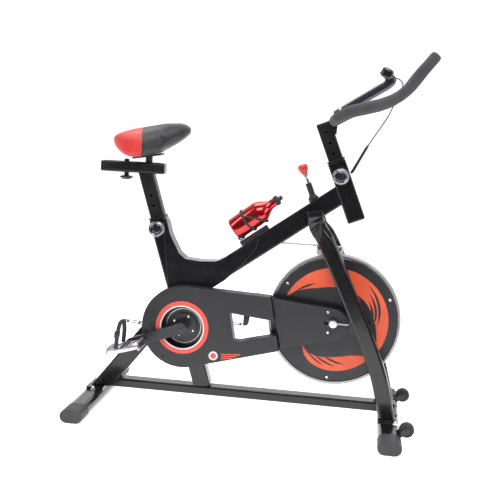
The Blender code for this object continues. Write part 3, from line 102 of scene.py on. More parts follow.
def camera():
    """The camera stands at the rider's right, above the saddle, rolled a little."""
    data = bpy.data.cameras.new("camera")
    data.lens = LENS
    data.sensor_width = SENSOR
    eye = bpy.data.objects.new("camera", data)
    scene.collection.objects.link(eye)
    forward = Vector((-math.sin(YAW) * math.cos(PITCH), math.cos(YAW) * math.cos(PITCH),
                      -math.sin(PITCH)))
    turn = forward.to_track_quat("-Z", "Y").to_matrix().to_4x4()
    eye.matrix_world = Matrix.Translation(EYE) @ turn @ Matrix.Rotation(ROLL, 4, "Z")
    scene.camera = eye


def area_light(name, place, target, size, power):
    data = bpy.data.lights.new(name, "AREA")
    data.shape = "RECTANGLE"
    data.size, data.size_y = size
    data.energy = power
    lamp = bpy.data.objects.new(name, data)
    scene.collection.objects.link(lamp)
    lamp.location = place
    lamp.rotation_euler = (Vector(target) - Vector(place)).to_track_quat("-Z", "Y").to_euler()


def studio():
    """A bright wall behind the bike and a dim room behind the camera, with soft boxes."""
    world = bpy.data.worlds.new("studio")
    scene.world = world
    world.use_nodes = True
    tree = world.node_tree
    back = tree.nodes["Background"]
    spot = tree.nodes.new("ShaderNodeTexCoord")
    parts = tree.nodes.new("ShaderNodeSeparateXYZ")
    tree.links.new(spot.outputs["Generated"], parts.inputs["Vector"])
    ramp = tree.nodes.new("ShaderNodeValToRGB")
    line = ramp.color_ramp.elements
    line[0].position, line[0].color = 0.30, (0.10, 0.10, 0.105, 1)
    line[1].position, line[1].color = 0.75, (1, 1, 1, 1)
    half = tree.nodes.new("ShaderNodeMath")
    half.operation = "MULTIPLY_ADD"
    half.inputs[1].default_value = 0.5
    half.inputs[2].default_value = 0.5
    tree.links.new(parts.outputs["Y"], half.inputs[0])
    tree.links.new(half.outputs[0], ramp.inputs["Fac"])
    tree.links.new(ramp.outputs["Color"], back.inputs["Color"])
    back.inputs["Strength"].default_value = 0.9
    for lamp in LIGHTS:
        area_light(*lamp)


# ---------------------------------------------------------------- materials
class Shader:
    """A material being wired: nodes are added by type and linked by socket."""

    def __init__(self, name):
        self.material = bpy.data.materials.new(name)
        self.material.use_nodes = True
        self.tree = self.material.node_tree
        self.main = self.tree.nodes["Principled BSDF"]
        self.place = self.node("ShaderNodeTexCoord").outputs["Object"]

    def node(self, kind, **settings):
        made = self.tree.nodes.new(kind)
        for key, value in settings.items():
            setattr(made, key, value)
        return made

    def link(self, source, target):
        self.tree.links.new(source, target)

    def noise(self, scale, detail=4.0, stretch=None):
        made = self.node("ShaderNodeTexNoise")
        made.inputs["Scale"].default_value = scale
        made.inputs["Detail"].default_value = detail
        spot = self.place
        if stretch:
            mapping = self.node("ShaderNodeMapping")
            mapping.inputs["Scale"].default_value = stretch
            self.link(self.place, mapping.inputs["Vector"])
            spot = mapping.outputs["Vector"]
        self.link(spot, made.inputs["Vector"])
        return made.outputs["Fac"]

    def ramp(self, source, stops):
        made = self.node("ShaderNodeValToRGB")
        line = made.color_ramp.elements
        while len(line) < len(stops):
            line.new(0.5)
        for element, (spot, colour) in zip(line, stops):
            element.position = spot
            element.color = (*colour, 1) if isinstance(colour, tuple) else (colour,) * 3 + (1,)
        self.link(source, made.inputs["Fac"])
        return made.outputs["Color"]

    def mix(self, share, first, second):
        made = self.node("ShaderNodeMix", data_type="RGBA")
        for value, socket in ((share, made.inputs[0]), (first, made.inputs[6]),
                              (second, made.inputs[7])):
            if isinstance(value, bpy.types.NodeSocket):
                self.link(value, socket)
            elif isinstance(value, tuple):
                socket.default_value = (*value, 1)
            else:
                socket.default_value = value
        return made.outputs[2]

    def math(self, operation, first, second=0.0):
        made = self.node("ShaderNodeMath", operation=operation)
        for value, socket in ((first, made.inputs[0]), (second, made.inputs[1])):
            if isinstance(value, bpy.types.NodeSocket):
                self.link(value, socket)
            else:
                socket.default_value = value
        return made.outputs[0]

    def soft_normal(self, radius):
        made = self.node("ShaderNodeBevel", samples=4)
        made.inputs["Radius"].default_value = radius
        return made.outputs["Normal"]

    def bump(self, height, distance, strength=1.0, edge=None):
        """Relief from a height, over edges softened by a small radius."""
        made = self.node("ShaderNodeBump")
        made.inputs["Distance"].default_value = distance
        made.inputs["Strength"].default_value = strength
        self.link(height, made.inputs["Height"])
        if edge:
            self.link(edge, made.inputs["Normal"])
        self.link(made.outputs["Normal"], self.main.inputs["Normal"])

    def wear(self, edge):
        """Up to 1 where the softened edge turns away from the face, broken up by noise."""
        turn = self.node("ShaderNodeVectorMath", operation="DOT_PRODUCT")
        self.link(edge, turn.inputs[0])
        self.link(self.node("ShaderNodeNewGeometry").outputs["Normal"], turn.inputs[1])
        rim = self.ramp(turn.outputs["Value"], [(0.82, 1.0), (0.97, 0.0)])
        return self.math("MULTIPLY", rim, self.ramp(self.noise(120), [(0.42, 0.0), (0.70, 0.8)]))


def finish(name, colour, second=None, rough=(0.3, 0.4), metallic=0.0, grain=600.0, relief=0.00004,
           patch=9.0, edge=0.0, coat=0.0, worn=None, shine=0.5):
    """A finish: two tones in patches, uneven roughness, fine relief and rubbed edges."""
    look = Shader(name)
    second = second or tuple(c * 0.72 for c in colour)
    soft = look.soft_normal(edge) if edge else None
    tone = look.ramp(look.noise(patch, 5.0), [(0.32, second), (0.68, colour)])
    if worn and edge:
        tone = look.mix(look.wear(soft), tone, worn)
    look.link(tone, look.main.inputs["Base Color"])
    uneven = look.ramp(look.noise(patch * 3.7, 6.0), [(0.3, rough[0]), (0.7, rough[1])])
    look.link(uneven, look.main.inputs["Roughness"])
    look.main.inputs["Metallic"].default_value = metallic
    look.main.inputs["Coat Weight"].default_value = coat
    look.main.inputs["Coat Roughness"].default_value = 0.08
    look.main.inputs["Specular IOR Level"].default_value = shine
    look.bump(look.noise(grain, 3.0), relief, 1.0, soft)
    return look.material


def saddle_skin():
    """Red hide behind a curved seam and grey-black hide ahead of it, with a fine grain."""
    look = Shader("saddle_skin")
    parts = look.node("ShaderNodeSeparateXYZ")
    look.link(look.place, parts.inputs["Vector"])
    bow = look.math("MULTIPLY", look.math("POWER", look.math("ABSOLUTE", parts.outputs["Y"]), 2.0),
                    SEAM_BOW)
    past = look.math("ADD", look.math("SUBTRACT", parts.outputs["X"], SEAM_X), bow)
    share = look.ramp(look.math("ADD", look.math("MULTIPLY", past, 600.0), 0.5),
                      [(0.0, 0.0), (1.0, 1.0)])
    blotch = look.noise(22, 5)
    red = look.ramp(blotch, [(0.3, (0.50, 0.020, 0.018)), (0.7, (0.66, 0.040, 0.034))])
    black = look.ramp(blotch, [(0.3, (0.014, 0.014, 0.016)), (0.7, (0.027, 0.027, 0.030))])
    look.link(look.mix(share, red, black), look.main.inputs["Base Color"])
    look.link(look.ramp(look.noise(60, 5), [(0.3, 0.34), (0.7, 0.46)]),
              look.main.inputs["Roughness"])
    look.main.inputs["Sheen Weight"].default_value = 0.05
    cells = look.node("ShaderNodeTexVoronoi", feature="DISTANCE_TO_EDGE")
    cells.inputs["Scale"].default_value = 620
    look.link(look.place, cells.inputs["Vector"])
    pores = look.ramp(cells.outputs["Distance"], [(0.0, 0.0), (0.16, 1.0)])
    look.bump(look.mix(0.35, pores, look.noise(260, 4)), 0.00022, 0.8)
    return look.material


def foam():
    """Closed-cell foam: matte, pitted, slightly dusty, with painted shade darkening the pits."""
    look = Shader("foam")
    pits = look.node("ShaderNodeTexVoronoi")
    pits.inputs["Scale"].default_value = 900
    look.link(look.place, pits.inputs["Vector"])
    pit_depth_and_shade = look.ramp(pits.outputs["Distance"], [(0.1, 0.0), (0.5, 1.0)])
    dust = look.ramp(look.noise(14, 6), [(0.3, (0.042, 0.042, 0.046)), (0.7, (0.070, 0.070, 0.075))])
    # Painted shade: colour in the pits darkens towards (0.03, 0.03, 0.033).
    look.link(look.mix(0.25, dust, look.mix(pit_depth_and_shade, (0.03, 0.03, 0.033), dust)),
              look.main.inputs["Base Color"])
    look.link(look.ramp(look.noise(40), [(0.3, 0.78), (0.7, 0.95)]), look.main.inputs["Roughness"])
    look.bump(pit_depth_and_shade, 0.00035, 0.8)
    return look.material


def brushed(name, colour, axis, centre, rough=(0.22, 0.38)):
    """Metal turned round an axis: fine rings of lighter and darker brushing."""
    look = Shader(name)
    shift = look.node("ShaderNodeMapping")
    shift.inputs["Location"].default_value = tuple(-c for c in centre)
    look.link(look.place, shift.inputs["Vector"])
    parts = look.node("ShaderNodeSeparateXYZ")
    look.link(shift.outputs["Vector"], parts.inputs["Vector"])
    first, second = [a for a in "XYZ" if a != axis]
    square = [look.math("POWER", look.math("ABSOLUTE", parts.outputs[a]), 2.0)
              for a in (first, second)]
    radius = look.math("SQRT", look.math("ADD", *square))
    joined = look.node("ShaderNodeCombineXYZ")
    look.link(radius, joined.inputs["X"])
    look.link(parts.outputs[axis], joined.inputs["Y"])
    rings = look.node("ShaderNodeTexNoise")
    rings.inputs["Scale"].default_value = 900
    look.link(joined.outputs["Vector"], rings.inputs["Vector"])
    tone = look.ramp(rings.outputs["Fac"], [(0.3, tuple(c * 0.75 for c in colour)), (0.7, colour)])
    look.link(tone, look.main.inputs["Base Color"])
    look.link(look.ramp(look.noise(18), [(0.3, rough[0]), (0.7, rough[1])]),
              look.main.inputs["Roughness"])
    look.main.inputs["Metallic"].default_value = 1.0
    look.bump(rings.outputs["Fac"], 0.00003, 0.7, look.soft_normal(0.0006))
    return look.material


def felt():
    look = Shader("felt")
    fibre = look.noise(420, 8, (1, 1, 3))
    tone = look.ramp(fibre, [(0.3, (0.42, 0.34, 0.24)), (0.7, (0.66, 0.58, 0.45))])
    look.link(tone, look.main.inputs["Base Color"])
    look.link(look.ramp(look.noise(80), [(0.3, 0.9), (0.7, 1.0)]), look.main.inputs["Roughness"])
    look.main.inputs["Sheen Weight"].default_value = 0.4
    look.bump(fibre, 0.0006, 1.0)
    return look.material


SEAM_X = -0.364         # where the red hide ends, on the middle line
SEAM_BOW = -2.2         # its bow, per metre: a minus sign takes it forward at the sides

GREY_CHIP = (0.16, 0.16, 0.165)
PAINT = finish("gloss_paint", (0.0085, 0.0085, 0.0095), (0.0060, 0.0060, 0.0070), (0.16, 0.26),
               grain=160, relief=0.000012, edge=0.0040, coat=0.35, shine=0.35,
               worn=(0.045, 0.045, 0.048))
PAINT_SATIN = finish("satin_paint", (0.012, 0.012, 0.013), (0.008, 0.008, 0.009), (0.30, 0.42),
                     grain=900, relief=0.00003, edge=0.0030, shine=0.4,
                     worn=(0.05, 0.05, 0.055))
PLASTIC = finish("moulded_plastic", (0.020, 0.020, 0.023), (0.015, 0.015, 0.017), (0.36, 0.48),
                 grain=1400, relief=0.00006, edge=0.0055, worn=(0.08, 0.08, 0.085))
CAP_PLASTIC = finish("cap_plastic", (0.040, 0.040, 0.044), (0.028, 0.028, 0.032), (0.45, 0.60),
                     grain=1100, relief=0.00014, edge=0.0020, worn=GREY_CHIP)
BLACK_PLASTIC = finish("black_plastic", (0.016, 0.016, 0.018), (0.010, 0.010, 0.011), (0.34, 0.5),
                       grain=1200, relief=0.00010, edge=0.0010)
GLOSS_PLASTIC = finish("gloss_plastic", (0.012, 0.012, 0.014), (0.008, 0.008, 0.010), (0.10, 0.18),
                       grain=200, relief=0.00003, edge=0.0012, coat=0.5)
PURPLE = finish("violet_gloss", (0.026, 0.018, 0.036), (0.016, 0.012, 0.022), (0.12, 0.2),
                grain=240, relief=0.00003, coat=0.7)
RED_TRIM = finish("red_trim", (0.72, 0.095, 0.060), (0.62, 0.070, 0.045), (0.32, 0.42),
                  grain=900, relief=0.00005, edge=0.0008)
CLAW = finish("claw_print", (0.80, 0.120, 0.045), (0.66, 0.080, 0.032), (0.34, 0.46),
              grain=1100, relief=0.00004, patch=14)
WHITE_TRIM = finish("white_trim", (0.80, 0.80, 0.80), (0.68, 0.68, 0.69), (0.28, 0.4),
                    grain=900, relief=0.00004)
RED_KNOB = finish("red_knob", (0.62, 0.030, 0.022), (0.48, 0.020, 0.016), (0.25, 0.38),
                  grain=700, relief=0.00006, coat=0.2)
CHROME = finish("chrome", (0.78, 0.78, 0.80), (0.66, 0.66, 0.69), (0.06, 0.16), 1.0,
                grain=300, relief=0.00002, edge=0.0006)
KNOB_METAL = finish("knob_metal", (0.30, 0.30, 0.33), (0.20, 0.20, 0.22), (0.22, 0.34), 1.0,
                    grain=300, relief=0.00003, edge=0.0010, worn=(0.5, 0.5, 0.5))
STEEL = finish("steel", (0.60, 0.60, 0.62), (0.44, 0.44, 0.46), (0.25, 0.42), 1.0,
               grain=500, relief=0.00004, edge=0.0006, worn=(0.75, 0.75, 0.76))
OILED = finish("oiled_steel", (0.14, 0.13, 0.12), (0.06, 0.055, 0.05), (0.3, 0.5), 1.0,
               grain=400, relief=0.00008)
ALLOY = finish("pedal_alloy", (0.72, 0.72, 0.74), (0.52, 0.52, 0.54), (0.22, 0.38), 1.0,
               grain=700, relief=0.00010, edge=0.0008, patch=30, worn=(0.85, 0.85, 0.86))
CRANK_BLACK = finish("crank_black", (0.026, 0.026, 0.029), (0.016, 0.016, 0.018), (0.26, 0.4),
                     grain=700, relief=0.00006, edge=0.0018, worn=(0.22, 0.22, 0.23))
DISC = finish("disc_black", (0.018, 0.018, 0.022), (0.013, 0.013, 0.016), (0.30, 0.42),
              grain=900, relief=0.00006, edge=0.0008)
RUBBER = finish("wheel_rubber", (0.030, 0.030, 0.033), (0.018, 0.018, 0.020), (0.6, 0.8),
                grain=900, relief=0.00020, edge=0.0010, worn=GREY_CHIP)
STRAP = finish("strap_plastic", (0.022, 0.022, 0.024), (0.014, 0.014, 0.016), (0.45, 0.62),
               grain=1300, relief=0.00012, edge=0.0006)
BOTTLE = finish("bottle_red", (0.66, 0.018, 0.020), (0.36, 0.008, 0.010), (0.16, 0.26), 0.85,
                grain=1500, relief=0.00003, patch=5, coat=0.8)
PIPING = finish("seam_piping", (0.74, 0.16, 0.14), (0.60, 0.10, 0.09), (0.5, 0.65),
                grain=1600, relief=0.00012)
SCREEN = finish("display", (0.075, 0.085, 0.070), (0.055, 0.064, 0.052), (0.08, 0.14),
                grain=300, relief=0.00002, coat=1.0)
RIM = brushed("flywheel_rim", (0.46, 0.44, 0.44), "Y", AXLE, (0.30, 0.45))
FELT = felt()
FOAM = foam()
SKIN = saddle_skin()

FINISHES = (
    (PAINT, "rear_foot front_foot base_rail rear_strut seat_tube top_tube frame_gusset head_tube"),
    (PAINT, "fork_leg_right fork_leg_left"),
    (CAP_PLASTIC, "rear_foot_cap_right rear_foot_cap_left front_foot_cap_right front_foot_cap_left"),
    (STEEL, "tensioner_right tensioner_left flywheel_axle crank_spindle bottom_bearing brake_arm"),
    (PLASTIC, "guard_outer guard_inner guard_front_cover"),
    (RED_TRIM, "guard_ring"), (RIM, "flywheel"), (FELT, "brake_pad"), (CHROME, "brake_rod"),
    (DISC, "flywheel_disc_right flywheel_disc_left"), (OILED, "sprocket chain"),
    (CRANK_BLACK, "chainring crank_arm_right crank_arm_left"),
    (PAINT_SATIN, "seat_post slider_tube handlebar_post"),
    (BLACK_PLASTIC, "seat_bushing slider_knob saddle_base head_bushing brake_guide"),
    (STRAP, "bottle_cage"), (RUBBER, "transport_wheel_right transport_wheel_left"))


def dress_nodes():
    for look, names in FINISHES:
        for name in names.split():
            mesh = NODES[name].data
            mesh.materials.clear()
            mesh.materials.append(look)


# ---------------------------------------------------------------- shapes
SHARP = math.radians(40)        # an edge that turns more than this stays crisp


def piece(name, mesh, look, body):
    """Add a finished mesh that rides on a body, or on none."""
    made = bpy.data.objects.new(name, mesh)
    scene.collection.objects.link(made)
    mesh.materials.clear()
    mesh.materials.append(look)
    mesh.shade_smooth()
    mesh.set_sharp_from_angle(angle=SHARP)
    if body:
        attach(made, body)
    return made


def merged(name, meshes):
    """One mesh made of several."""
    work = bmesh.new()
    for mesh in meshes:
        work.from_mesh(mesh)
        bpy.data.meshes.remove(mesh)
    made = bpy.data.meshes.new(name)
    work.to_mesh(made)
    work.free()
    return made


def from_work(name, work):
    bmesh.ops.recalc_face_normals(work, faces=work.faces)
    mesh = bpy.data.meshes.new(name)
    work.to_mesh(mesh)
    work.free()
    return mesh


def turned(profile, centre, axis, steps=64):
    """A turned mesh from (radius, height) pairs, closed where the radius is 0."""
    work = bmesh.new()
    rings = []
    for radius, height in profile:
        if radius == 0:
            rings.append([work.verts.new((0, 0, height))])
            continue
        rings.append([work.verts.new((radius * math.cos(a), radius * math.sin(a), height))
                      for a in (2 * math.pi * i / steps for i in range(steps))])
    pairs = list(zip(rings, rings[1:]))
    if profile[0][0] > 0:
        pairs.append((rings[-1], rings[0]))
    for first, second in pairs:
        for i in range(steps):
            corners = [first[i % len(first)], first[(i + 1) % len(first)],
                       second[(i + 1) % len(second)], second[i % len(second)]]
            corners = list(dict.fromkeys(corners))
            if len(corners) > 2:
                work.faces.new(corners)
    bmesh.ops.transform(work, matrix=facing(centre, axis, "X"), verts=work.verts)
    return from_work("turned", work)


def spread(rows, steps):
    """More rows between the given ones, on a smooth curve."""
    rows = [2 * rows[0] - rows[1]] + rows + [2 * rows[-1] - rows[-2]]
    out = []
    for a, b, c, d in zip(rows, rows[1:], rows[2:], rows[3:]):
        for i in range(steps):
            t = i / steps
            out.append(0.5 * (2 * b + (c - a) * t + (2 * a - 5 * b + 4 * c - d) * t * t
                              + (3 * b - a - 3 * c + d) * t ** 3))
    return out + [rows[-2]]


def smooth_path(points, steps):
    return spread([Vector(p) for p in points], steps)


def smooth_rows(rows, steps):
    return spread([np.array(row) for row in rows], steps)


def round_section(radius, sides=24):
    return [(radius * math.cos(a), radius * math.sin(a))
            for a in (2 * math.pi * i / sides for i in range(sides))]


def box_section(width, height, radius, steps=5):
    x, y = width / 2 - radius, height / 2 - radius
    outline = []
    for i, (cx, cy) in enumerate(((x, y), (-x, y), (-x, -y), (x, -y))):
        for k in range(steps + 1):
            a = (i + k / steps) * math.pi / 2
            outline.append((cx + radius * math.cos(a), cy + radius * math.sin(a)))
    return outline


def skinned(work, rings):
    """Faces between rings of equal length, and one over each end."""
    for first, second in zip(rings, rings[1:]):
        for i in range(len(first)):
            work.faces.new((first[i - 1], first[i], second[i], second[i - 1]))
    work.faces.new(rings[0])
    work.faces.new(rings[-1])


def grooved(name, profile, place, axis, steps, groove):
    """A turned mesh whose radius drops by groove(step, height) on its way round."""
    work = bmesh.new()
    rings = []
    for radius, height in profile:
        ring = []
        for i in range(steps):
            a = 2 * math.pi * i / steps
            r = radius - groove(i, height)
            ring.append(work.verts.new((r * math.cos(a), r * math.sin(a), height)))
        rings.append(ring)
    skinned(work, rings)
    bmesh.ops.transform(work, matrix=facing(place, axis, "Y"), verts=work.verts)
    return from_work(name, work)


def swept(path, section, side=Vector((0, 1, 0)), sizes=None):
    """A section carried along a path; its first axis stays near side."""
    path = [Vector(p) for p in path]
    work = bmesh.new()
    rings = []
    for i, here in enumerate(path):
        ahead = (path[min(i + 1, len(path) - 1)] - path[max(i - 1, 0)]).normalized()
        across = (side - ahead * side.dot(ahead)).normalized()
        up = ahead.cross(across)
        size = sizes[i] if sizes else 1.0
        rings.append([work.verts.new(here + (across * a + up * b) * size) for a, b in section])
    skinned(work, rings)
    return from_work("swept", work)


def slab(outline, low, high, bevel=0.0, segments=2, matrix=None):
    """A flat outline in X and Z, thick from low to high along Y, with softened rims."""
    work = bmesh.new()
    front = [work.verts.new((x, low, z)) for x, z in outline]
    back = [work.verts.new((x, high, z)) for x, z in outline]
    faces = [work.faces.new(front), work.faces.new(back)]
    for i in range(len(outline)):
        work.faces.new((front[i - 1], front[i], back[i], back[i - 1]))
    bmesh.ops.recalc_face_normals(work, faces=work.faces)
    if bevel:
        rims = [edge for face in faces for edge in face.edges]
        bmesh.ops.bevel(work, geom=rims, offset=bevel, segments=segments, affect="EDGES",
                        profile=0.5, clamp_overlap=True)
    if matrix:
        bmesh.ops.transform(work, matrix=matrix, verts=work.verts)
    return from_work("slab", work)


def block(size, place, bevel=0.0, matrix=None, segments=3):
    work = bmesh.new()
    bmesh.ops.create_cube(work, size=1.0)
    bmesh.ops.scale(work, vec=size, verts=work.verts)
    if bevel:
        bmesh.ops.bevel(work, geom=work.edges[:], offset=bevel, segments=segments, affect="EDGES",
                        profile=0.5, clamp_overlap=True)
    bmesh.ops.translate(work, vec=place, verts=work.verts)
    if matrix:
        bmesh.ops.transform(work, matrix=matrix, verts=work.verts)
    return from_work("block", work)


def pan_screw(place, axis, radius=0.0042, rise=0.0022):
    """A domed screw head with a socket in it."""
    profile = [(0, rise * 0.35), (radius * 0.42, rise * 0.35), (radius * 0.46, rise),
               (radius * 0.75, rise * 0.82), (radius, rise * 0.25), (radius, -0.001), (0, -0.001)]
    return turned(profile, place, axis, 20)


def hex_nut(place, axis, flat=0.0065, rise=0.006, dome=True):
    """A hexagon nut under a domed cap."""
    work = bmesh.new()
    bmesh.ops.create_cone(work, cap_ends=True, segments=6, radius1=flat * 1.155,
                          radius2=flat * 1.155, depth=rise)
    bmesh.ops.translate(work, vec=(0, 0, rise / 2), verts=work.verts)
    bmesh.ops.bevel(work, geom=work.edges[:], offset=0.0005, segments=2, affect="EDGES")
    bmesh.ops.transform(work, matrix=facing(place, axis, "X"), verts=work.verts)
    parts = [from_work("nut", work)]
    washer = [(0, 0.0014), (flat * 1.5, 0.0014), (flat * 1.55, 0.0006), (flat * 1.55, -0.0005),
              (0, -0.0005)]
    parts.append(turned(washer, place, axis, 28))
    if dome:
        cap = [(0, rise + flat * 0.95), (flat * 0.5, rise + flat * 0.8),
               (flat * 0.82, rise + flat * 0.42), (flat * 0.92, rise - 0.0005), (0, rise - 0.0005)]
        parts.append(turned(cap, place, axis, 24))
    return merged("nut", parts)


# ---------------------------------------------------------------- floor
def floor():
    """A pale floor that starts in front of the bike and curves up far behind it."""
    work = bmesh.new()
    rows = [(-1.5, 0.0), (5.0, 0.0), (6.2, 0.25), (7.0, 0.9), (7.4, 2.0), (7.5, 6.0)]
    verts = [[work.verts.new((x, y, z)) for x in (-12, 12)] for y, z in rows]
    for first, second in zip(verts, verts[1:]):
        work.faces.new((first[0], first[1], second[1], second[0]))
    mesh = bpy.data.meshes.new("floor")
    work.to_mesh(mesh)
    work.free()
    mesh.shade_smooth()
    made = bpy.data.objects.new("floor", mesh)
    scene.collection.objects.link(made)
    pale = finish("floor_pale", (0.97, 0.97, 0.97), (0.94, 0.94, 0.945), (0.55, 0.7), grain=60,
                  relief=0.0001, patch=1.5)
    main = pale.node_tree.nodes["Principled BSDF"]
    main.inputs["Emission Color"].default_value = (1, 1, 1, 1)
    main.inputs["Emission Strength"].default_value = 0.68
    mesh.materials.append(pale)


# ---------------------------------------------------------------- places
BB = Vector((CRANK.x, 0, CRANK.z))
HEAD_SIDE = Vector((HEAD_AXIS.z, 0, -HEAD_AXIS.x))      # across the handlebar post, forward
HEAD = Vector((0.3170, 0, 0.6440))                      # head tube's lower end
TOP_RISE = math.radians(36.26)
TOP_START = BB + SEAT_AXIS * 0.088
PEDALS = {RIGHT: joint_at("pedal_right_spin"), LEFT: joint_at("pedal_left_spin")}
TURNS = {RIGHT: TILT, LEFT: TILT + math.pi}


def top_point(along, up):
    """A place along the top tube and up from its middle line."""
    return TOP_START + Vector((along * math.cos(TOP_RISE) - up * math.sin(TOP_RISE), 0,
                               along * math.sin(TOP_RISE) + up * math.cos(TOP_RISE)))


BOTTLE_BASE = top_point(0.269, 0.0854)
SADDLE_X, SADDLE_Z = -0.3451, 0.803
NOSE_UP = math.radians(10.0)


def saddle_point(forward, up, y=0.0):
    """A place on the saddle, whose nose is tipped up."""
    return Vector((SADDLE_X + forward * math.cos(NOSE_UP) - up * math.sin(NOSE_UP), y,
                   SADDLE_Z + forward * math.sin(NOSE_UP) + up * math.cos(NOSE_UP)))


# ---------------------------------------------------------------- saddle
SADDLE = [          # forward, half width, underside, top: a little inside the padded form
    (-0.092, 0.046, 0.054, 0.074), (-0.084, 0.070, 0.040, 0.082), (-0.056, 0.089, 0.019, 0.087),
    (-0.020, 0.083, 0.0095, 0.089), (0.020, 0.058, 0.0095, 0.091), (0.056, 0.040, 0.013, 0.093),
    (0.094, 0.031, 0.027, 0.093), (0.126, 0.025, 0.044, 0.088), (0.144, 0.013, 0.058, 0.074)]

VOXEL, SWELL = 0.0045, 0.0045       # the remesh, and how far the filling may push the skin
FILL_PRESSURE, FILL_STEPS = 4.0, 20


def saddle_shape():
    """The pad before it is filled: full at the edge, with a shallow channel down the middle."""
    work = bmesh.new()
    rings, sides = [], 40
    for forward, half, low, high in smooth_rows(SADDLE, 4):
        ring = []
        for i in range(sides):
            angle = 2 * math.pi * (i + 0.5) / sides
            c, s = math.cos(angle), math.sin(angle)
            across = abs(c) ** 0.62 * math.copysign(1, c)
            rise = abs(s) ** 0.62 * math.copysign(1, s)
            up = (low + high) / 2 + rise * (high - low) / 2
            if s < 0:
                skirt = min(1.0, max(0.0, (abs(across) - 0.55) / 0.25))
                up -= 0.014 * skirt * math.exp(-((forward + 0.010) / 0.075) ** 4)
            if s > 0:
                up -= 0.004 * math.exp(-(across / 0.22) ** 2) * (1 if -0.08 < forward < 0.11 else 0)
            point = saddle_point(forward, up, across * half)
            ring.append(work.verts.new(point))
        rings.append(ring)
    for first, second in zip(rings, rings[1:]):
        for i in range(sides):
            work.faces.new((first[i], first[i - 1], second[i - 1], second[i]))
    work.faces.new(rings[0])
    work.faces.new(rings[-1])
    return from_work("saddle_pad", work)


def filled(obj, voxel, cap):
    """Remesh a pad, let its filling swell it, and keep each point within the cap."""
    bpy.context.view_layer.objects.active = obj
    remesh = obj.modifiers.new("remesh", "REMESH")
    remesh.mode = "VOXEL"
    remesh.voxel_size = voxel
    bake(obj)
    rest = points_of(obj.data)
    cloth = obj.modifiers.new("cloth", "CLOTH")
    cloth.settings.quality = 6
    cloth.settings.mass = 0.3
    cloth.settings.use_pressure = True
    cloth.settings.uniform_pressure_force = FILL_PRESSURE
    cloth.settings.effector_weights.gravity = 0
    cloth.settings.tension_stiffness = 25
    cloth.settings.bending_stiffness = 2
    cloth.point_cache.frame_start, cloth.point_cache.frame_end = 1, FILL_STEPS
    for step in range(1, FILL_STEPS + 1):
        scene.frame_set(step)
    bake(obj)
    scene.frame_set(1)
    move = points_of(obj.data) - rest
    far = np.maximum(np.linalg.norm(move, axis=1, keepdims=True), 1e-9)
    rest = rest + move * np.minimum(1.0, cap / far)
    obj.data.vertices.foreach_set("co", rest.ravel())
    soft = obj.modifiers.new("soft", "SMOOTH")
    soft.factor, soft.iterations = 0.5, 3
    detail = obj.modifiers.new("detail", "SUBSURF")
    detail.levels = detail.render_levels = 1
    bake(obj)


def bake(obj):
    """Apply an object's modifiers to its mesh."""
    depsgraph = bpy.context.evaluated_depsgraph_get()
    mesh = bpy.data.meshes.new_from_object(obj.evaluated_get(depsgraph))
    obj.modifiers.clear()
    obj.data = mesh


def points_of(mesh):
    flat = np.empty(len(mesh.vertices) * 3)
    mesh.vertices.foreach_get("co", flat)
    return flat.reshape(-1, 3)


def saddle():
    mesh = saddle_shape()
    pad = bpy.data.objects.new("saddle_pad", mesh)
    scene.collection.objects.link(pad)
    filled(pad, VOXEL, SWELL)
    crease(pad)
    pad.data.materials.clear()
    pad.data.materials.append(SKIN)
    pad.data.shade_smooth()
    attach(pad, "saddle")
    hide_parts("saddle")
    line = seam_line(pad)
    piping = swept(line, round_section(0.0013, 10), Vector((0, 0, 1)))
    piece("saddle_piping", piping, PIPING, "saddle")


def seam_at(y):
    return SEAM_X - SEAM_BOW * y * y


def crease(pad):
    """Pull the skin in along the seam between the two colours."""
    spots = points_of(pad.data)
    away = np.abs(spots[:, 0] - (SEAM_X - SEAM_BOW * spots[:, 1] ** 2))
    normals = np.empty(len(spots) * 3)
    pad.data.vertices.foreach_get("normal", normals)
    depth = 0.0016 * np.exp(-(away / 0.0035) ** 2)
    spots -= normals.reshape(-1, 3) * depth[:, None]
    pad.data.vertices.foreach_set("co", spots.ravel())


def seam_line(pad):
    """The seam from the right edge over the top to the left edge, on the skin."""
    tree = BVHTree.FromPolygons([v.co for v in pad.data.vertices],
                                [p.vertices for p in pad.data.polygons])
    core = saddle_point(-0.02, 0.045)
    line = []
    for i in range(61):
        swing = math.radians(-14 + 208 * i / 60)
        out = Vector((0, -math.cos(swing), math.sin(swing)))
        far = core + out * 0.2
        x = SEAM_X
        for _ in range(3):
            hit = tree.ray_cast(Vector((x, far.y, far.z)), -out)[0]
            if hit is None:
                break
            x = seam_at(hit.y)
        if hit is not None:
            line.append(hit + out * 0.0002)
    return line


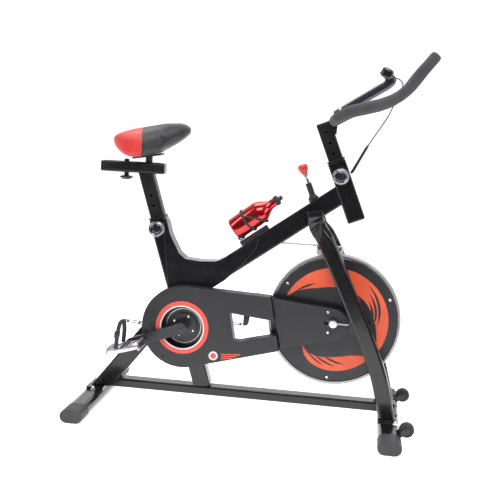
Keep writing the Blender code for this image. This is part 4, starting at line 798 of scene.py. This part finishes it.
# ---------------------------------------------------------------- pull knobs
def pull_knob(name, node, body):
    """A chromed barrel on the tube's side and a dark knob with a bright rim."""
    low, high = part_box(node)
    axis = Vector((0, -1, 0))
    face = low.y
    centre = Vector(((low.x + high.x) / 2, 0, (low.z + high.z) / 2))
    r = (high.x - low.x) / 2
    outer = -face
    inner = outer - 0.020
    rim = [(0, outer - 0.0065), (r - 0.0095, outer - 0.0065), (r - 0.0085, outer - 0.0015),
           (r - 0.0065, outer - 0.0002), (r - 0.0040, outer - 0.0008), (r - 0.0015, outer - 0.0030),
           (r - 0.0002, outer - 0.0070), (r - 0.0002, outer - 0.0120), (r - 0.0020, inner + 0.0035),
           (r - 0.0085, inner + 0.0006), (0.0042, inner), (0.0038, inner),
           (0.0038, 0.0195), (0, 0.0195)]
    made = piece(f"{name}_rim", turned(rim, centre, axis, 72), KNOB_METAL, body)
    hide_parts(node)
    c = r - 0.0098
    core = [(0, outer - 0.0022), (c * 0.45, outer - 0.0018), (c * 0.82, outer - 0.0026),
            (c * 0.97, outer - 0.0040), (c, outer - 0.0062), (0, outer - 0.0062)]
    piece(f"{name}_centre", turned(core, centre, axis, 64), PURPLE, body)
    turn = Matrix.Translation(centre + axis * (outer - 0.0014)) @ Matrix.Rotation(
        math.radians(-24), 4, "Y")
    bar = block((c * 1.25, 0.0016, 0.0052), (0, 0, 0), 0.0007, turn)
    piece(f"{name}_grip", bar, GLOSS_PLASTIC, body)


def pin_barrels():
    """A welded boss on each tube with a hexagon collar, which the pin slides in."""
    for name in ("seat_pin", "head_pin"):
        low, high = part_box(f"{name}_knob")
        centre = Vector(((low.x + high.x) / 2, 0, (low.z + high.z) / 2))
        r0 = 0.0105
        sleeve = [(r0 + 0.0003, 0.0232), (r0 + 0.0035, 0.0232), (r0 + 0.0035, 0.0270),
                  (r0 + 0.0022, 0.0282), (r0 + 0.0022, 0.0330), (r0 + 0.0036, 0.0342),
                  (r0 + 0.0036, 0.0420), (r0 + 0.0018, 0.0436), (r0 + 0.0018, 0.0490),
                  (r0 + 0.0003, 0.0496)]
        piece(f"{name}_collar", turned(sleeve, centre, (0, -1, 0), 6 * 8), CHROME, "frame")


# ---------------------------------------------------------------- bar, grips, console
BAR = [(0.000, 0.000, 0.000), (0.000, 0.050, 0.001), (0.004, 0.105, 0.004), (0.016, 0.165, 0.012),
       (0.046, 0.207, 0.029), (0.095, 0.222, 0.043), (0.138, 0.222, 0.056), (0.175, 0.222, 0.074),
       (0.208, 0.222, 0.104), (0.242, 0.222, 0.152), (0.272, 0.222, 0.192)]
BAR_ROOT = Vector((0.2305, 0, 0.9438))


def bar_path(side):
    return smooth_path([BAR_ROOT + Vector((x, side * y, z)) for x, y, z in BAR], 8)


def handlebar():
    whole = bar_path(RIGHT)[:0:-1] + bar_path(LEFT)
    bar = swept(whole[6:-6], round_section(0.0123, 28), Vector((0, 0, 1)))
    low, high = HEAD + HEAD_AXIS * 0.272, HEAD + HEAD_AXIS * 0.310
    wedge = [low + HEAD_SIDE * 0.0232, low + HEAD_SIDE * 0.0268, high + HEAD_SIDE * 0.0445,
             high + HEAD_SIDE * 0.0232]
    saddle_block = slab([(p.x, p.z) for p in wedge], -0.0145, 0.0145, 0.0016)
    made = piece("bar_tube", merged("bar", [bar, saddle_block]), PAINT_SATIN, "handlebar")
    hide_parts("handlebar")
    for side, label in SIDES:
        path = bar_path(side)
        start = next(i for i, p in enumerate(path) if abs(p.y) > 0.0352)
        path = path[start:]
        ahead = (path[-1] - path[-2]).normalized()
        line, sizes = [path[0]], [0.84]
        line.append(path[0] + (path[1] - path[0]).normalized() * 0.0012)
        sizes.append(0.97)
        for p in path[1:-2]:
            line.append(p)
            sizes.append(1.0)
        for along, size in ((-0.0080, 1.0), (-0.0045, 0.975), (-0.0018, 0.91), (0.0006, 0.80),
                            (0.0022, 0.62), (0.0030, 0.36)):
            line.append(path[-1] + ahead * along)
            sizes.append(size)
        foam_mesh = swept(line, round_section(0.0157, 36), Vector((0, 0, 1)), sizes)
        grip = piece(f"foam_grip_{label}", foam_mesh, FOAM, "handlebar")
        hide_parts(f"grip_{label}")


LEAD_END = Vector((0.3865, 0, 1.0648))
LEAD = [Vector((0.28924, 0, 0.78902)).lerp(LEAD_END, share) + Vector((x, y, z))
        for share, x, y, z in (
            (0.00, 0.0000, 0.000, 0.0000), (0.05, 0.0034, 0.000, 0.0002),
            (0.16, 0.0072, -0.002, -0.0011), (0.32, 0.0127, -0.004, -0.0043),
            (0.45, 0.0190, -0.006, -0.0081), (0.57, 0.0263, -0.006, -0.0102),
            (0.70, 0.0327, -0.005, -0.0120), (0.83, 0.0341, -0.003, -0.0129),
            (0.92, 0.0363, 0.000, -0.0127), (0.99, 0.0375, 0.002, -0.0120),
            (1.00, 0.0375, 0.002, 0.0002), (1.00, 0.0285, 0.001, 0.0112),
            (1.00, 0.0185, 0.000, 0.0147), (1.00, 0.0090, 0.000, 0.0170))]
ARM_START, ARM_END = BAR_ROOT + Vector((-0.001, 0, 0.017)), BAR_ROOT + Vector((0.156, 0, 0.121))


def console():
    """An oval arm with a bright collar, and a small pod with a screen and three keys."""
    way = (ARM_END - ARM_START).normalized()
    middle = ARM_END + Vector((-0.010, 0, 0.027))
    line = smooth_path([ARM_START + way * 0.0008, ARM_START + way * 0.004]
                       + [ARM_START + (ARM_END - ARM_START) * share
                          for share in (0.2, 0.4, 0.6, 0.8, 0.94)]
                       + [ARM_END + Vector((0.004, 0, 0.009)), middle + Vector((0.002, 0, -0.008)),
                          middle], 6)
    sizes = [0.80, 0.90, 0.96] + [1.0] * (len(line) - 17)
    sizes += [1.0 - 0.30 * (i + 1) / 14 for i in range(14)]
    oval = [(0.0132 * a, 0.0150 * b) for a, b in round_section(1.0, 36)]
    arm = swept(line, oval, Vector((0, 1, 0)), sizes)
    piece("console_arm", arm, PURPLE, "handlebar")
    collar = [(0.0131, 0.018), (0.0168, 0.0184), (0.0174, 0.0200), (0.0174, 0.0250),
              (0.0168, 0.0266), (0.0131, 0.0270)]
    piece("console_collar", turned(collar, ARM_START, way, 48), STEEL, "handlebar")
    outward = Vector((-0.88, 0, 0.47)).normalized()
    spot = facing(middle, outward, "Y")
    body = block((0.0580, 0.0305, 0.0350), (0, 0, 0.001), 0.0088, spot, 5)
    pod = piece("console_pod", body, GLOSS_PLASTIC, "handlebar")
    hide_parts("console")
    bezel = block((0.0440, 0.0220, 0.0020), (0, 0, 0.0186), 0.0009, spot)
    piece("console_bezel", bezel, BLACK_PLASTIC, "handlebar")
    glass = block((0.0330, 0.0130, 0.0012), (0, 0.0025, 0.0195), 0.0005, spot)
    piece("console_screen", glass, SCREEN, "handlebar")
    keys = [turned([(0, 0.0014), (0.0014, 0.0012), (0.0019, 0.0004), (0.0019, -0.001), (0, -0.001)],
                   spot @ Vector((x, -0.0075, 0.0196)), outward, 20) for x in (-0.010, 0.0, 0.010)]
    piece("console_keys", merged("keys", keys), RED_KNOB, "handlebar")
    relief = [(0.0020, -0.0012), (0.0026, 0.0), (0.0030, 0.0030), (0.0038, 0.0060), (0.0044, 0.0068),
              (0.0020, 0.0068)]
    piece("console_relief", turned(relief, LEAD[-1], middle - LEAD[-1], 32), BLACK_PLASTIC,
          "handlebar")


def lead():
    """The display's lead; it crosses the post's joint, so it rides on no body."""
    line = smooth_path(LEAD, 8)
    tube = swept(line, round_section(0.0018, 14), Vector((0, 1, 0)))
    made = piece("display_lead", tube, STRAP, None)
    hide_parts("console_lead")
    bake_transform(made)
    boot = line[:26]
    sizes = [0.55, 0.7, 0.85] + [1.0 - 0.12 * i / 20 for i in range(20)] + [0.84, 0.72, 0.5]
    sleeve = swept(boot, round_section(0.0048, 20), Vector((0, 1, 0)), sizes)
    cover = piece("display_lead_boot", sleeve, BLACK_PLASTIC, None)
    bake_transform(cover)


# ---------------------------------------------------------------- brake
def brake():
    """A lobed knob and ferrule on the push rod, and the pad's cheeks and screws."""
    low_end = Vector((0.1931, 0, 0.6722))
    tube_top = 0.029 / math.cos(math.pi / 2 - TOP_RISE - math.radians(22.6))
    base = low_end + HEAD_AXIS * (tube_top + 0.081)
    profile = [(0.0079, 0.0), (0.0095, 0.0035), (0.0120, 0.0080), (0.0142, 0.0130),
               (0.0156, 0.0180), (0.0160, 0.0225), (0.0150, 0.0265), (0.0120, 0.0297),
               (0.0070, 0.0312), (0.0030, 0.0316)]
    steps, lobes = 72, 9

    def groove(i, height):
        deep = 0.00055 if 0.006 < height < 0.028 else 0.0
        return deep * (1 - math.cos(lobes * 2 * math.pi * i / steps)) / 2

    mesh = grooved("knob", profile, base, HEAD_AXIS, steps, groove)
    knob = piece("brake_push_knob", mesh, RED_KNOB, "brake_knob")
    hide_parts("brake_knob")
    ferrule = [(0.0052, -0.010), (0.0072, -0.0095), (0.0072, -0.0012), (0.0062, -0.0002),
               (0.0052, -0.0002)]
    piece("brake_ferrule", turned(ferrule, base, HEAD_AXIS, 32), STEEL, "brake_rod")
    plow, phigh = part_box("brake_pad")
    y = 0.0168
    cheek = [(plow.x + 0.004, phigh.z - 0.0010), (phigh.x - 0.004, phigh.z - 0.0010),
             (phigh.x - 0.006, phigh.z - 0.0105), (plow.x + 0.006, phigh.z - 0.0105)]
    sides = [slab(cheek, *sorted((side * 0.0153, side * y)), 0.0005) for side in (RIGHT, LEFT)]
    piece("pad_bracket", merged("cheeks", sides), PAINT_SATIN, "brake_arm")
    bolts = [pan_screw(Vector((plow.x + along, side * y, phigh.z - 0.0055)), (0, side, 0), 0.0032,
                       0.0015) for side in (RIGHT, LEFT) for along in (0.020, 0.060)]
    piece("pad_screws", merged("screws", bolts), CHROME, "brake_arm")


# ---------------------------------------------------------------- flywheel trim
def band(rows):
    """A curved band from rows of angle, inner radius and outer radius."""
    rows = smooth_rows(rows, 6)
    rim = [(o * math.cos(math.radians(a)), o * math.sin(math.radians(a))) for a, i, o in rows]
    belly = [(i * math.cos(math.radians(a)), i * math.sin(math.radians(a))) for a, i, o in rows]
    return rim + belly[::-1]


UPPER = [(156, .1640, .1655), (146, .1480, .1665), (134, .1300, .1665), (118, .1130, .1665),
         (98, .1065, .1665), (76, .1060, .1670), (56, .1090, .1675), (36, .1140, .1680),
         (18, .1190, .1690), (2, .1270, .1690), (-12, .1370, .1690), (-24, .1500, .1685),
         (-34, .1665, .1680)]
LOWER = [(-136, .1270, .1290), (-126, .1310, .1450), (-115, .1290, .1550), (-102, .1230, .1605),
         (-88, .1180, .1625), (-74, .1180, .1630), (-60, .1240, .1630), (-48, .1420, .1625),
         (-42, .1590, .1605)]
UPPER_CUTS = [((50, .1555, .1560), (38, .1500, .1555), (24, .1440, .1520), (10, .1385, .1450),
               (-2, .1350, .1360)),
              ((42, .1400, .1405), (32, .1350, .1405), (18, .1300, .1375), (4, .1250, .1310)),
              ((34, .1250, .1255), (24, .1210, .1265), (12, .1170, .1250), (4, .1160, .1190)),
              ((150, .1530, .1535), (142, .1430, .1475), (130, .1330, .1395), (118, .1290, .1295))]
LOWER_CUTS = [((-128, .1300, .1305), (-118, .1330, .1380), (-108, .1400, .1450),
               (-98, .1490, .1495)),
              ((-114, .1270, .1280), (-104, .1300, .1360), (-95, .1370, .1430),
               (-85, .1480, .1485)),
              ((-100, .1200, .1220), (-91, .1240, .1310), (-82, .1330, .1390),
               (-73, .1450, .1455))]


def flywheel_trim():
    """Claw-shaped marks, rim screws and a raised lip on each cover disc."""
    for side, label in SIDES:
        low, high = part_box(f"flywheel_disc_{label}")
        face = side * max(abs(low.y), abs(high.y))
        for name, rows_of, low_y, high_y, look in (
                ("claw_marks", (UPPER, LOWER), 0.0001, 0.0005, CLAW),
                ("claw_cuts", UPPER_CUTS + LOWER_CUTS, 0.0002, 0.0008, DISC)):
            marks = []
            for rows in rows_of:
                outline = [(AXLE.x + x, AXLE.z + z) for x, z in band(rows)]
                marks.append(slab(outline, *sorted((face + side * low_y, face + side * high_y))))
            piece(f"{name}_{label}", merged("marks", marks), look, "flywheel")
        screws = []
        for degrees in (145, 25, -93):
            a = math.radians(degrees)
            place = Vector((AXLE.x + 0.185 * math.cos(a), face, AXLE.z + 0.185 * math.sin(a)))
            screws.append(pan_screw(place, (0, side, 0), 0.0046, 0.0020))
        piece(f"disc_screws_{label}", merged("screws", screws), CHROME, "flywheel")
        lip = [(0.1985, 0.0), (0.1985, 0.0006), (0.1972, 0.0012), (0.1955, 0.0006), (0.1955, 0.0)]
        centre = Vector((AXLE.x, face, AXLE.z))
        piece(f"disc_lip_{label}", turned(lip, centre, (0, side, 0), 128), GLOSS_PLASTIC,
              "flywheel")


# ---------------------------------------------------------------- guard trim
def guard_trim():
    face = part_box("guard_ring")[0].y
    # Painted reflection: a flat white ring stands in for the bright shine of a thin chrome ring.
    ring = [(0.0672, -0.0002), (0.0672, 0.0006), (0.0680, 0.0011), (0.0700, 0.0011),
            (0.0708, 0.0006), (0.0708, -0.0002)]
    centre = Vector((BB.x, face, BB.z))
    piece("guard_inner_ring_painted_reflection", turned(ring, centre, (0, -1, 0), 128), WHITE_TRIM, "frame")
    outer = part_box("guard_outer")[0].y
    badge_at = Vector((-0.100, outer, 0.195))
    badge = [(0, 0.0012), (0.0115, 0.0012), (0.0120, 0.0016), (0.0138, 0.0016), (0.0143, 0.0011),
             (0.0143, 0.0), (0, 0.0)]
    piece("guard_badge", turned(badge, badge_at, (0, -1, 0), 64), WHITE_TRIM, "frame")
    core = [(0, 0.0017), (0.0085, 0.0017), (0.0093, 0.0013), (0.0093, 0.0010), (0, 0.0010)]
    piece("guard_badge_core", turned(core, badge_at, (0, -1, 0), 48), RED_TRIM, "frame")
    stripes = []
    for length, rise in ((0.060, 0.007), (0.048, 0.0), (0.034, -0.007)):
        x = -0.076
        z = badge_at.z + rise
        lean = 0.0016
        stripes.append(slab([(x, z - 0.0021), (x + length, z - 0.0021 + 0.004),
                             (x + length + lean, z + 0.0021 + 0.004), (x + lean, z + 0.0021)],
                            outer - 0.0006, outer, 0.0002))
    piece("guard_stripes", merged("stripes", stripes), RED_TRIM, "frame")
    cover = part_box("guard_front_cover")[0].y
    screws = [pan_screw(Vector((x, cover, z)), (0, -1, 0), 0.0046, 0.0024)
              for x, z in ((0.250, 0.362), (0.253, 0.298))]
    piece("cover_screws", merged("screws", screws), CHROME, "frame")
    darks = [pan_screw(Vector((x, outer, z)), (0, -1, 0), 0.0046, 0.0020)
             for x, z in ((0.052, 0.374), (0.086, 0.244), (-0.300, 0.330), (-0.262, 0.180))]
    piece("guard_screws", merged("screws", darks), BLACK_PLASTIC, "frame")


def crank_trim():
    """A bright edge and bolts on the chainring, and a nut on each crank."""
    light = [(0.0540, 0.0), (0.0540, 0.0006), (0.0556, 0.0011), (0.0572, 0.0006), (0.0572, 0.0)]
    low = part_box("chainring")[0]
    ring_at = Vector((BB.x, low.y, BB.z))
    piece("ring_edge", turned(light, ring_at, (0, -1, 0), 96), STEEL, "crank")
    bolts = []
    for i in range(4):
        a = math.radians(245 + 90 * i)
        place = Vector((BB.x + 0.034 * math.cos(a), low.y - 0.0043, BB.z + 0.034 * math.sin(a)))
        bolts.append(pan_screw(place, (0, -1, 0), 0.0046, 0.0024))
    piece("spider_bolts", merged("bolts", bolts), CHROME, "crank")
    for side, label in SIDES:
        outer = side * 0.088
        nut = hex_nut(Vector((BB.x, outer, BB.z)), (0, side, 0), 0.0068, 0.0040)
        piece(f"crank_nut_{label}", nut, CRANK_BLACK, "crank")


# ---------------------------------------------------------------- pedals
def pedal_matrix(side):
    centre = PEDALS[side]
    return (Matrix.Translation((centre.x, side * 0.138, centre.z))
            @ Matrix.Rotation(-TURNS[side], 4, "Y"))


def pedals():
    """A cast alloy body with toothed plates fore and aft, on a sealed barrel."""
    plate_at, teeth, pitch = 0.0494, 9, 0.0085
    for side, label in SIDES:
        spot = pedal_matrix(side)
        parts = []
        for end in (-1, 1):
            parts.append(block((0.0060, 0.0776, 0.0170), (end * plate_at, 0, 0), 0.0018, spot))
            parts.append(block((0.0056, 0.0700, 0.0120), (end * 0.0150, 0, 0), 0.0016, spot))
            for i in range(teeth):
                y = -0.0340 + pitch * i
                for up in (-1, 1):
                    tooth = [(-0.0026, up * 0.0070), (0.0026, up * 0.0070), (0.0016, up * 0.0127),
                             (-0.0016, up * 0.0127)]
                    parts.append(slab([(end * plate_at + a, b) for a, b in tooth], y - 0.0020,
                                      y + 0.0020, 0.0004, 1, spot))
        for edge in (-1, 1):
            rail = [(-0.0520, -0.0060), (-0.0160, -0.0075), (0.0160, -0.0075), (0.0520, -0.0060),
                    (0.0520, 0.0060), (0.0160, 0.0075), (-0.0160, 0.0075), (-0.0520, 0.0060)]
            low, high = sorted((edge * 0.0388, edge * 0.0330))
            parts.append(slab(rail, low, high, 0.0012, 2, spot))
        body = piece(f"pedal_cage_{label}", merged("pedal", parts), ALLOY, f"pedal_{label}")
        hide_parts(f"pedal_{label}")
        centre = spot.translation
        barrel = [(0.0067, -0.0370), (0.0105, -0.0365), (0.0112, -0.0320), (0.0092, -0.0270),
                  (0.0088, 0.0), (0.0092, 0.0270), (0.0112, 0.0320), (0.0108, 0.0362),
                  (0.0067, 0.0368)]
        piece(f"pedal_barrel_{label}", turned(barrel, centre, (0, 1, 0), 40), CRANK_BLACK,
              f"pedal_{label}")
        cap_at = centre + Vector((0, side * 0.0330, 0))
        cap = [(0, 0.0052), (0.0060, 0.0050), (0.0078, 0.0038), (0.0084, 0.0010), (0.0084, 0.0),
               (0, 0.0)]
        piece(f"pedal_cap_{label}", turned(cap, cap_at, (0, side, 0), 32), BLACK_PLASTIC,
              f"pedal_{label}")
        toe_cage(side, label, spot)


def toe_cage(side, label, spot):
    """A moulded toe cage with an open middle, and a toothed strap over the foot."""
    front = 0.053 + 0.0003
    line = smooth_path([(front + 0.00125, 0, -0.008), (front + 0.005, 0, 0.004),
                        (front + 0.028, 0, 0.014), (front + 0.040, 0, 0.036),
                        (front + 0.026, 0, 0.057), (0.045, 0, 0.074), (0.012, 0, 0.0832)], 6)
    parts = []
    for y in (-0.0122, 0.0122):
        rail = [p + Vector((0, y, 0)) for p in line]
        parts.append(swept(rail, box_section(0.0052, 0.0023, 0.0009, 3), Vector((0, 1, 0))))
    for i in (3, 9, 15, 21, 27, 33):
        here, ahead = line[i], (line[i + 1] - line[i - 1]).normalized()
        bar = [here + Vector((0, y, 0)) for y in (-0.0145, -0.007, 0.0, 0.007, 0.0145)]
        parts.append(swept(bar, box_section(0.0070, 0.0021, 0.0009, 3), ahead))
    plate_line = line[8:15]
    parts.append(swept(plate_line, box_section(0.0240, 0.0018, 0.0008, 2), Vector((0, 1, 0))))
    mesh = merged("cage", parts)
    mesh.transform(spot)
    cage = piece(f"toe_clip_{label}", mesh, STRAP, f"pedal_{label}")
    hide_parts(f"toe_cage_{label}")
    half = 0.039 + 0.0003 + 0.00125
    rise, back, lean = 0.084, 0.020, 0.010
    hoop = smooth_path([(0, -half, 0.0074), (0, -half, 0.030), (0, -half + 0.001, 0.048),
                        (0, -half + 0.012, 0.070), (0, -half + 0.026, rise - 0.0008),
                        (0, 0, rise), (0, half - 0.026, rise - 0.0008),
                        (0, half - 0.012, 0.070), (0, half - 0.001, 0.048), (0, half, 0.030),
                        (0, half, 0.0074)], 8)
    skew = Matrix.Translation((-back, 0, 0))
    skew[0][2] = (lean + back) / rise
    path = [skew @ p for p in hoop]
    strap = [swept(path, box_section(0.0138, 0.0020, 0.0006, 2), Vector((1, 0, 0)))]
    for i in range(4, len(path) - 4, 2):
        here, ahead = path[i], (path[i + 1] - path[i - 1]).normalized()
        out = (here - Vector((here.x, 0, 0.040))).normalized()
        bar = [here + out * 0.0010 + Vector((x, 0, 0)) for x in (-0.0046, -0.002, 0.002, 0.0046)]
        strap.append(swept(bar, box_section(0.0016, 0.0012, 0.0003, 2), ahead))
    mesh = merged("strap", strap)
    mesh.transform(spot)
    piece(f"toe_strap_{label}", mesh, STRAP, f"pedal_{label}")
    buckle_at = spot @ skew @ Matrix.Translation((0, side * half, 0.052))
    buckle = merged("buckle", [block((0.0190, 0.0040, 0.0200), (0, side * 0.0012, 0), 0.0012,
                                     buckle_at),
                               block((0.0130, 0.0024, 0.0060), (0, side * 0.0038, -0.003), 0.0008,
                                     buckle_at)])
    piece(f"toe_buckle_{label}", buckle, BLACK_PLASTIC, f"pedal_{label}")


# ---------------------------------------------------------------- bottle
def bottle_trim():
    """A waisted metal bottle with a screw cap and a pull spout."""
    base = BOTTLE_BASE
    r, length = 0.0365, 0.150
    body = [(0, 0.0008), (r - 0.0075, 0.0002), (r - 0.0040, 0.0006), (r - 0.0012, 0.0030),
            (r - 0.0001, 0.0065), (r - 0.0001, 0.030), (r - 0.0001, length - 0.052),
            (r - 0.0012, length - 0.0465), (0.0325, length - 0.0385), (0.0285, length - 0.0315),
            (0.0240, length - 0.0250), (0.0192, length - 0.0180), (0.0158, length - 0.0110),
            (0.0145, length - 0.0040), (0.0138, length + 0.0040), (0.0134, length + 0.0079),
            (0, length + 0.0079)]
    shell = piece("bottle_shell", turned(body, base, BOTTLE_AXIS, 96), BOTTLE, "bottle")
    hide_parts("bottle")
    profile = [(0.0152, 0.0), (0.0160, 0.0008), (0.0160, 0.0118), (0.0150, 0.0131),
               (0.0088, 0.0140), (0.0078, 0.0152), (0.0072, 0.0185), (0.0066, 0.0200),
               (0.0072, 0.0216), (0.0070, 0.0246), (0.0058, 0.0259), (0.0030, 0.0260)]

    def groove(i, height):
        return 0.0005 * (i % 4 < 2) if 0.0005 < height < 0.0125 else 0.0

    mesh = grooved("lid", profile, base + BOTTLE_AXIS * (length + 0.0083), BOTTLE_AXIS, 96, groove)
    cap = piece("bottle_lid", mesh, BLACK_PLASTIC, "bottle")
    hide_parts("bottle_cap")


# ---------------------------------------------------------------- frame fittings
FOOT_TOP = 0.0402


def fittings():
    """Nuts and washers where the frame is bolted together."""
    nuts = []
    for side in (RIGHT, LEFT):
        for step in (-0.024, 0.024):
            place = Vector((0.4635 + step * 0.55, side * (0.078 + step), FOOT_TOP))
            nuts.append(hex_nut(place, (0, 0, 1), 0.0058, 0.0050))
    for side in (RIGHT, LEFT):
        nuts.append(hex_nut(Vector((-0.4955, side * 0.046, FOOT_TOP)), (0, 0, 1), 0.0060, 0.0052))
    piece("foot_nuts", merged("nuts", nuts), CHROME, "frame")
    nuts = []
    for side in (RIGHT, LEFT):
        tip = Vector((AXLE.x, side * 0.0742, AXLE.z))
        nuts.append(hex_nut(tip, (0, side, 0), 0.0075, 0.0050, False))
    piece("axle_nuts", merged("nuts", nuts), CHROME, "frame")


def slider_trim():
    """Rounded end plugs on the slider tube."""
    low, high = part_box("slider_tube")
    ends = []
    for x, way in ((low.x, -1), (high.x, 1)):
        ends.append(block((0.0080, 0.0392, 0.0332), (x - way * 0.0002, 0, (low.z + high.z) / 2),
                          0.0038, None, 6))
    piece("slider_plugs", merged("plugs", ends), PAINT, "seat_post")


def bottle_cage():
    """A strip on the top tube, ribs under the bottle and arms that cross over its sides."""
    base = BOTTLE_BASE
    up = Vector((-BOTTLE_AXIS.z, 0, BOTTLE_AXIS.x))

    def spot(along, degrees, radius=0.0384):
        a = math.radians(degrees)
        return base + BOTTLE_AXIS * along + (up * math.sin(a) + Vector((0, math.cos(a), 0))) * radius

    def arm(stops, width):
        line = [spot(*stop) for stop in smooth_rows(stops, 7)]
        work = bmesh.new()
        outline = box_section(width, 0.0026, 0.0011, 3)
        rings = []
        for i, here in enumerate(line):
            ahead = (line[min(i + 1, len(line) - 1)] - line[max(i - 1, 0)]).normalized()
            rel = here - base
            out = (rel - BOTTLE_AXIS * rel.dot(BOTTLE_AXIS)).normalized()
            across = out.cross(ahead).normalized()
            rings.append([work.verts.new(here + across * a + out * b) for a, b in outline])
        skinned(work, rings)
        return from_work("arm", work)

    parts = [arm([(0.052, a) for a in range(28, 153, 12)], 0.0090)]
    for mirror in (False, True):
        def turn(a):
            return 180 - a if mirror else a
        first = [(0.058, -84), (0.056, -60), (0.053, -36), (0.051, -12), (0.050, 10), (0.052, 30)]
        second = [(0.104, -84), (0.102, -62), (0.096, -40), (0.086, -18), (0.072, 4), (0.058, 26)]
        parts.append(arm([(along, turn(a)) for along, a in first], 0.0070))
        parts.append(arm([(along, turn(a)) for along, a in second], 0.0066))
    for along in (0.012, 0.058, 0.103):
        parts.append(arm([(along, a) for a in range(-138, -41, 12)], 0.0080))
    lip = smooth_path([spot(0.012, -90), spot(0.002, -90, 0.0386), spot(-0.0022, -90, 0.0370),
                       spot(-0.0028, -90, 0.0310), spot(-0.0028, -90, 0.0250)], 6)
    parts.append(swept(lip, box_section(0.0180, 0.0026, 0.0011, 3), Vector((0, 1, 0))))
    turn_up = Matrix.Translation(top_point(0.314, 0.0373)) @ Matrix.Rotation(-TOP_RISE, 4, "Y")
    parts.append(block((0.1020, 0.0180, 0.0150), (0, 0, -0.0004), 0.0022, turn_up))
    cage = piece("bottle_arms", merged("cage", parts), STRAP, "frame")
    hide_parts("bottle_cage")


camera()
lead()
studio()
floor()
dress_nodes()
saddle()
handlebar()
console()
pull_knob("seat_pull", "seat_pin_knob", "seat_pin")
pull_knob("head_pull", "head_pin_knob", "head_pin")
pin_barrels()
brake()
flywheel_trim()
guard_trim()
crank_trim()
pedals()
bottle_trim()
bottle_cage()
fittings()
slider_trim()
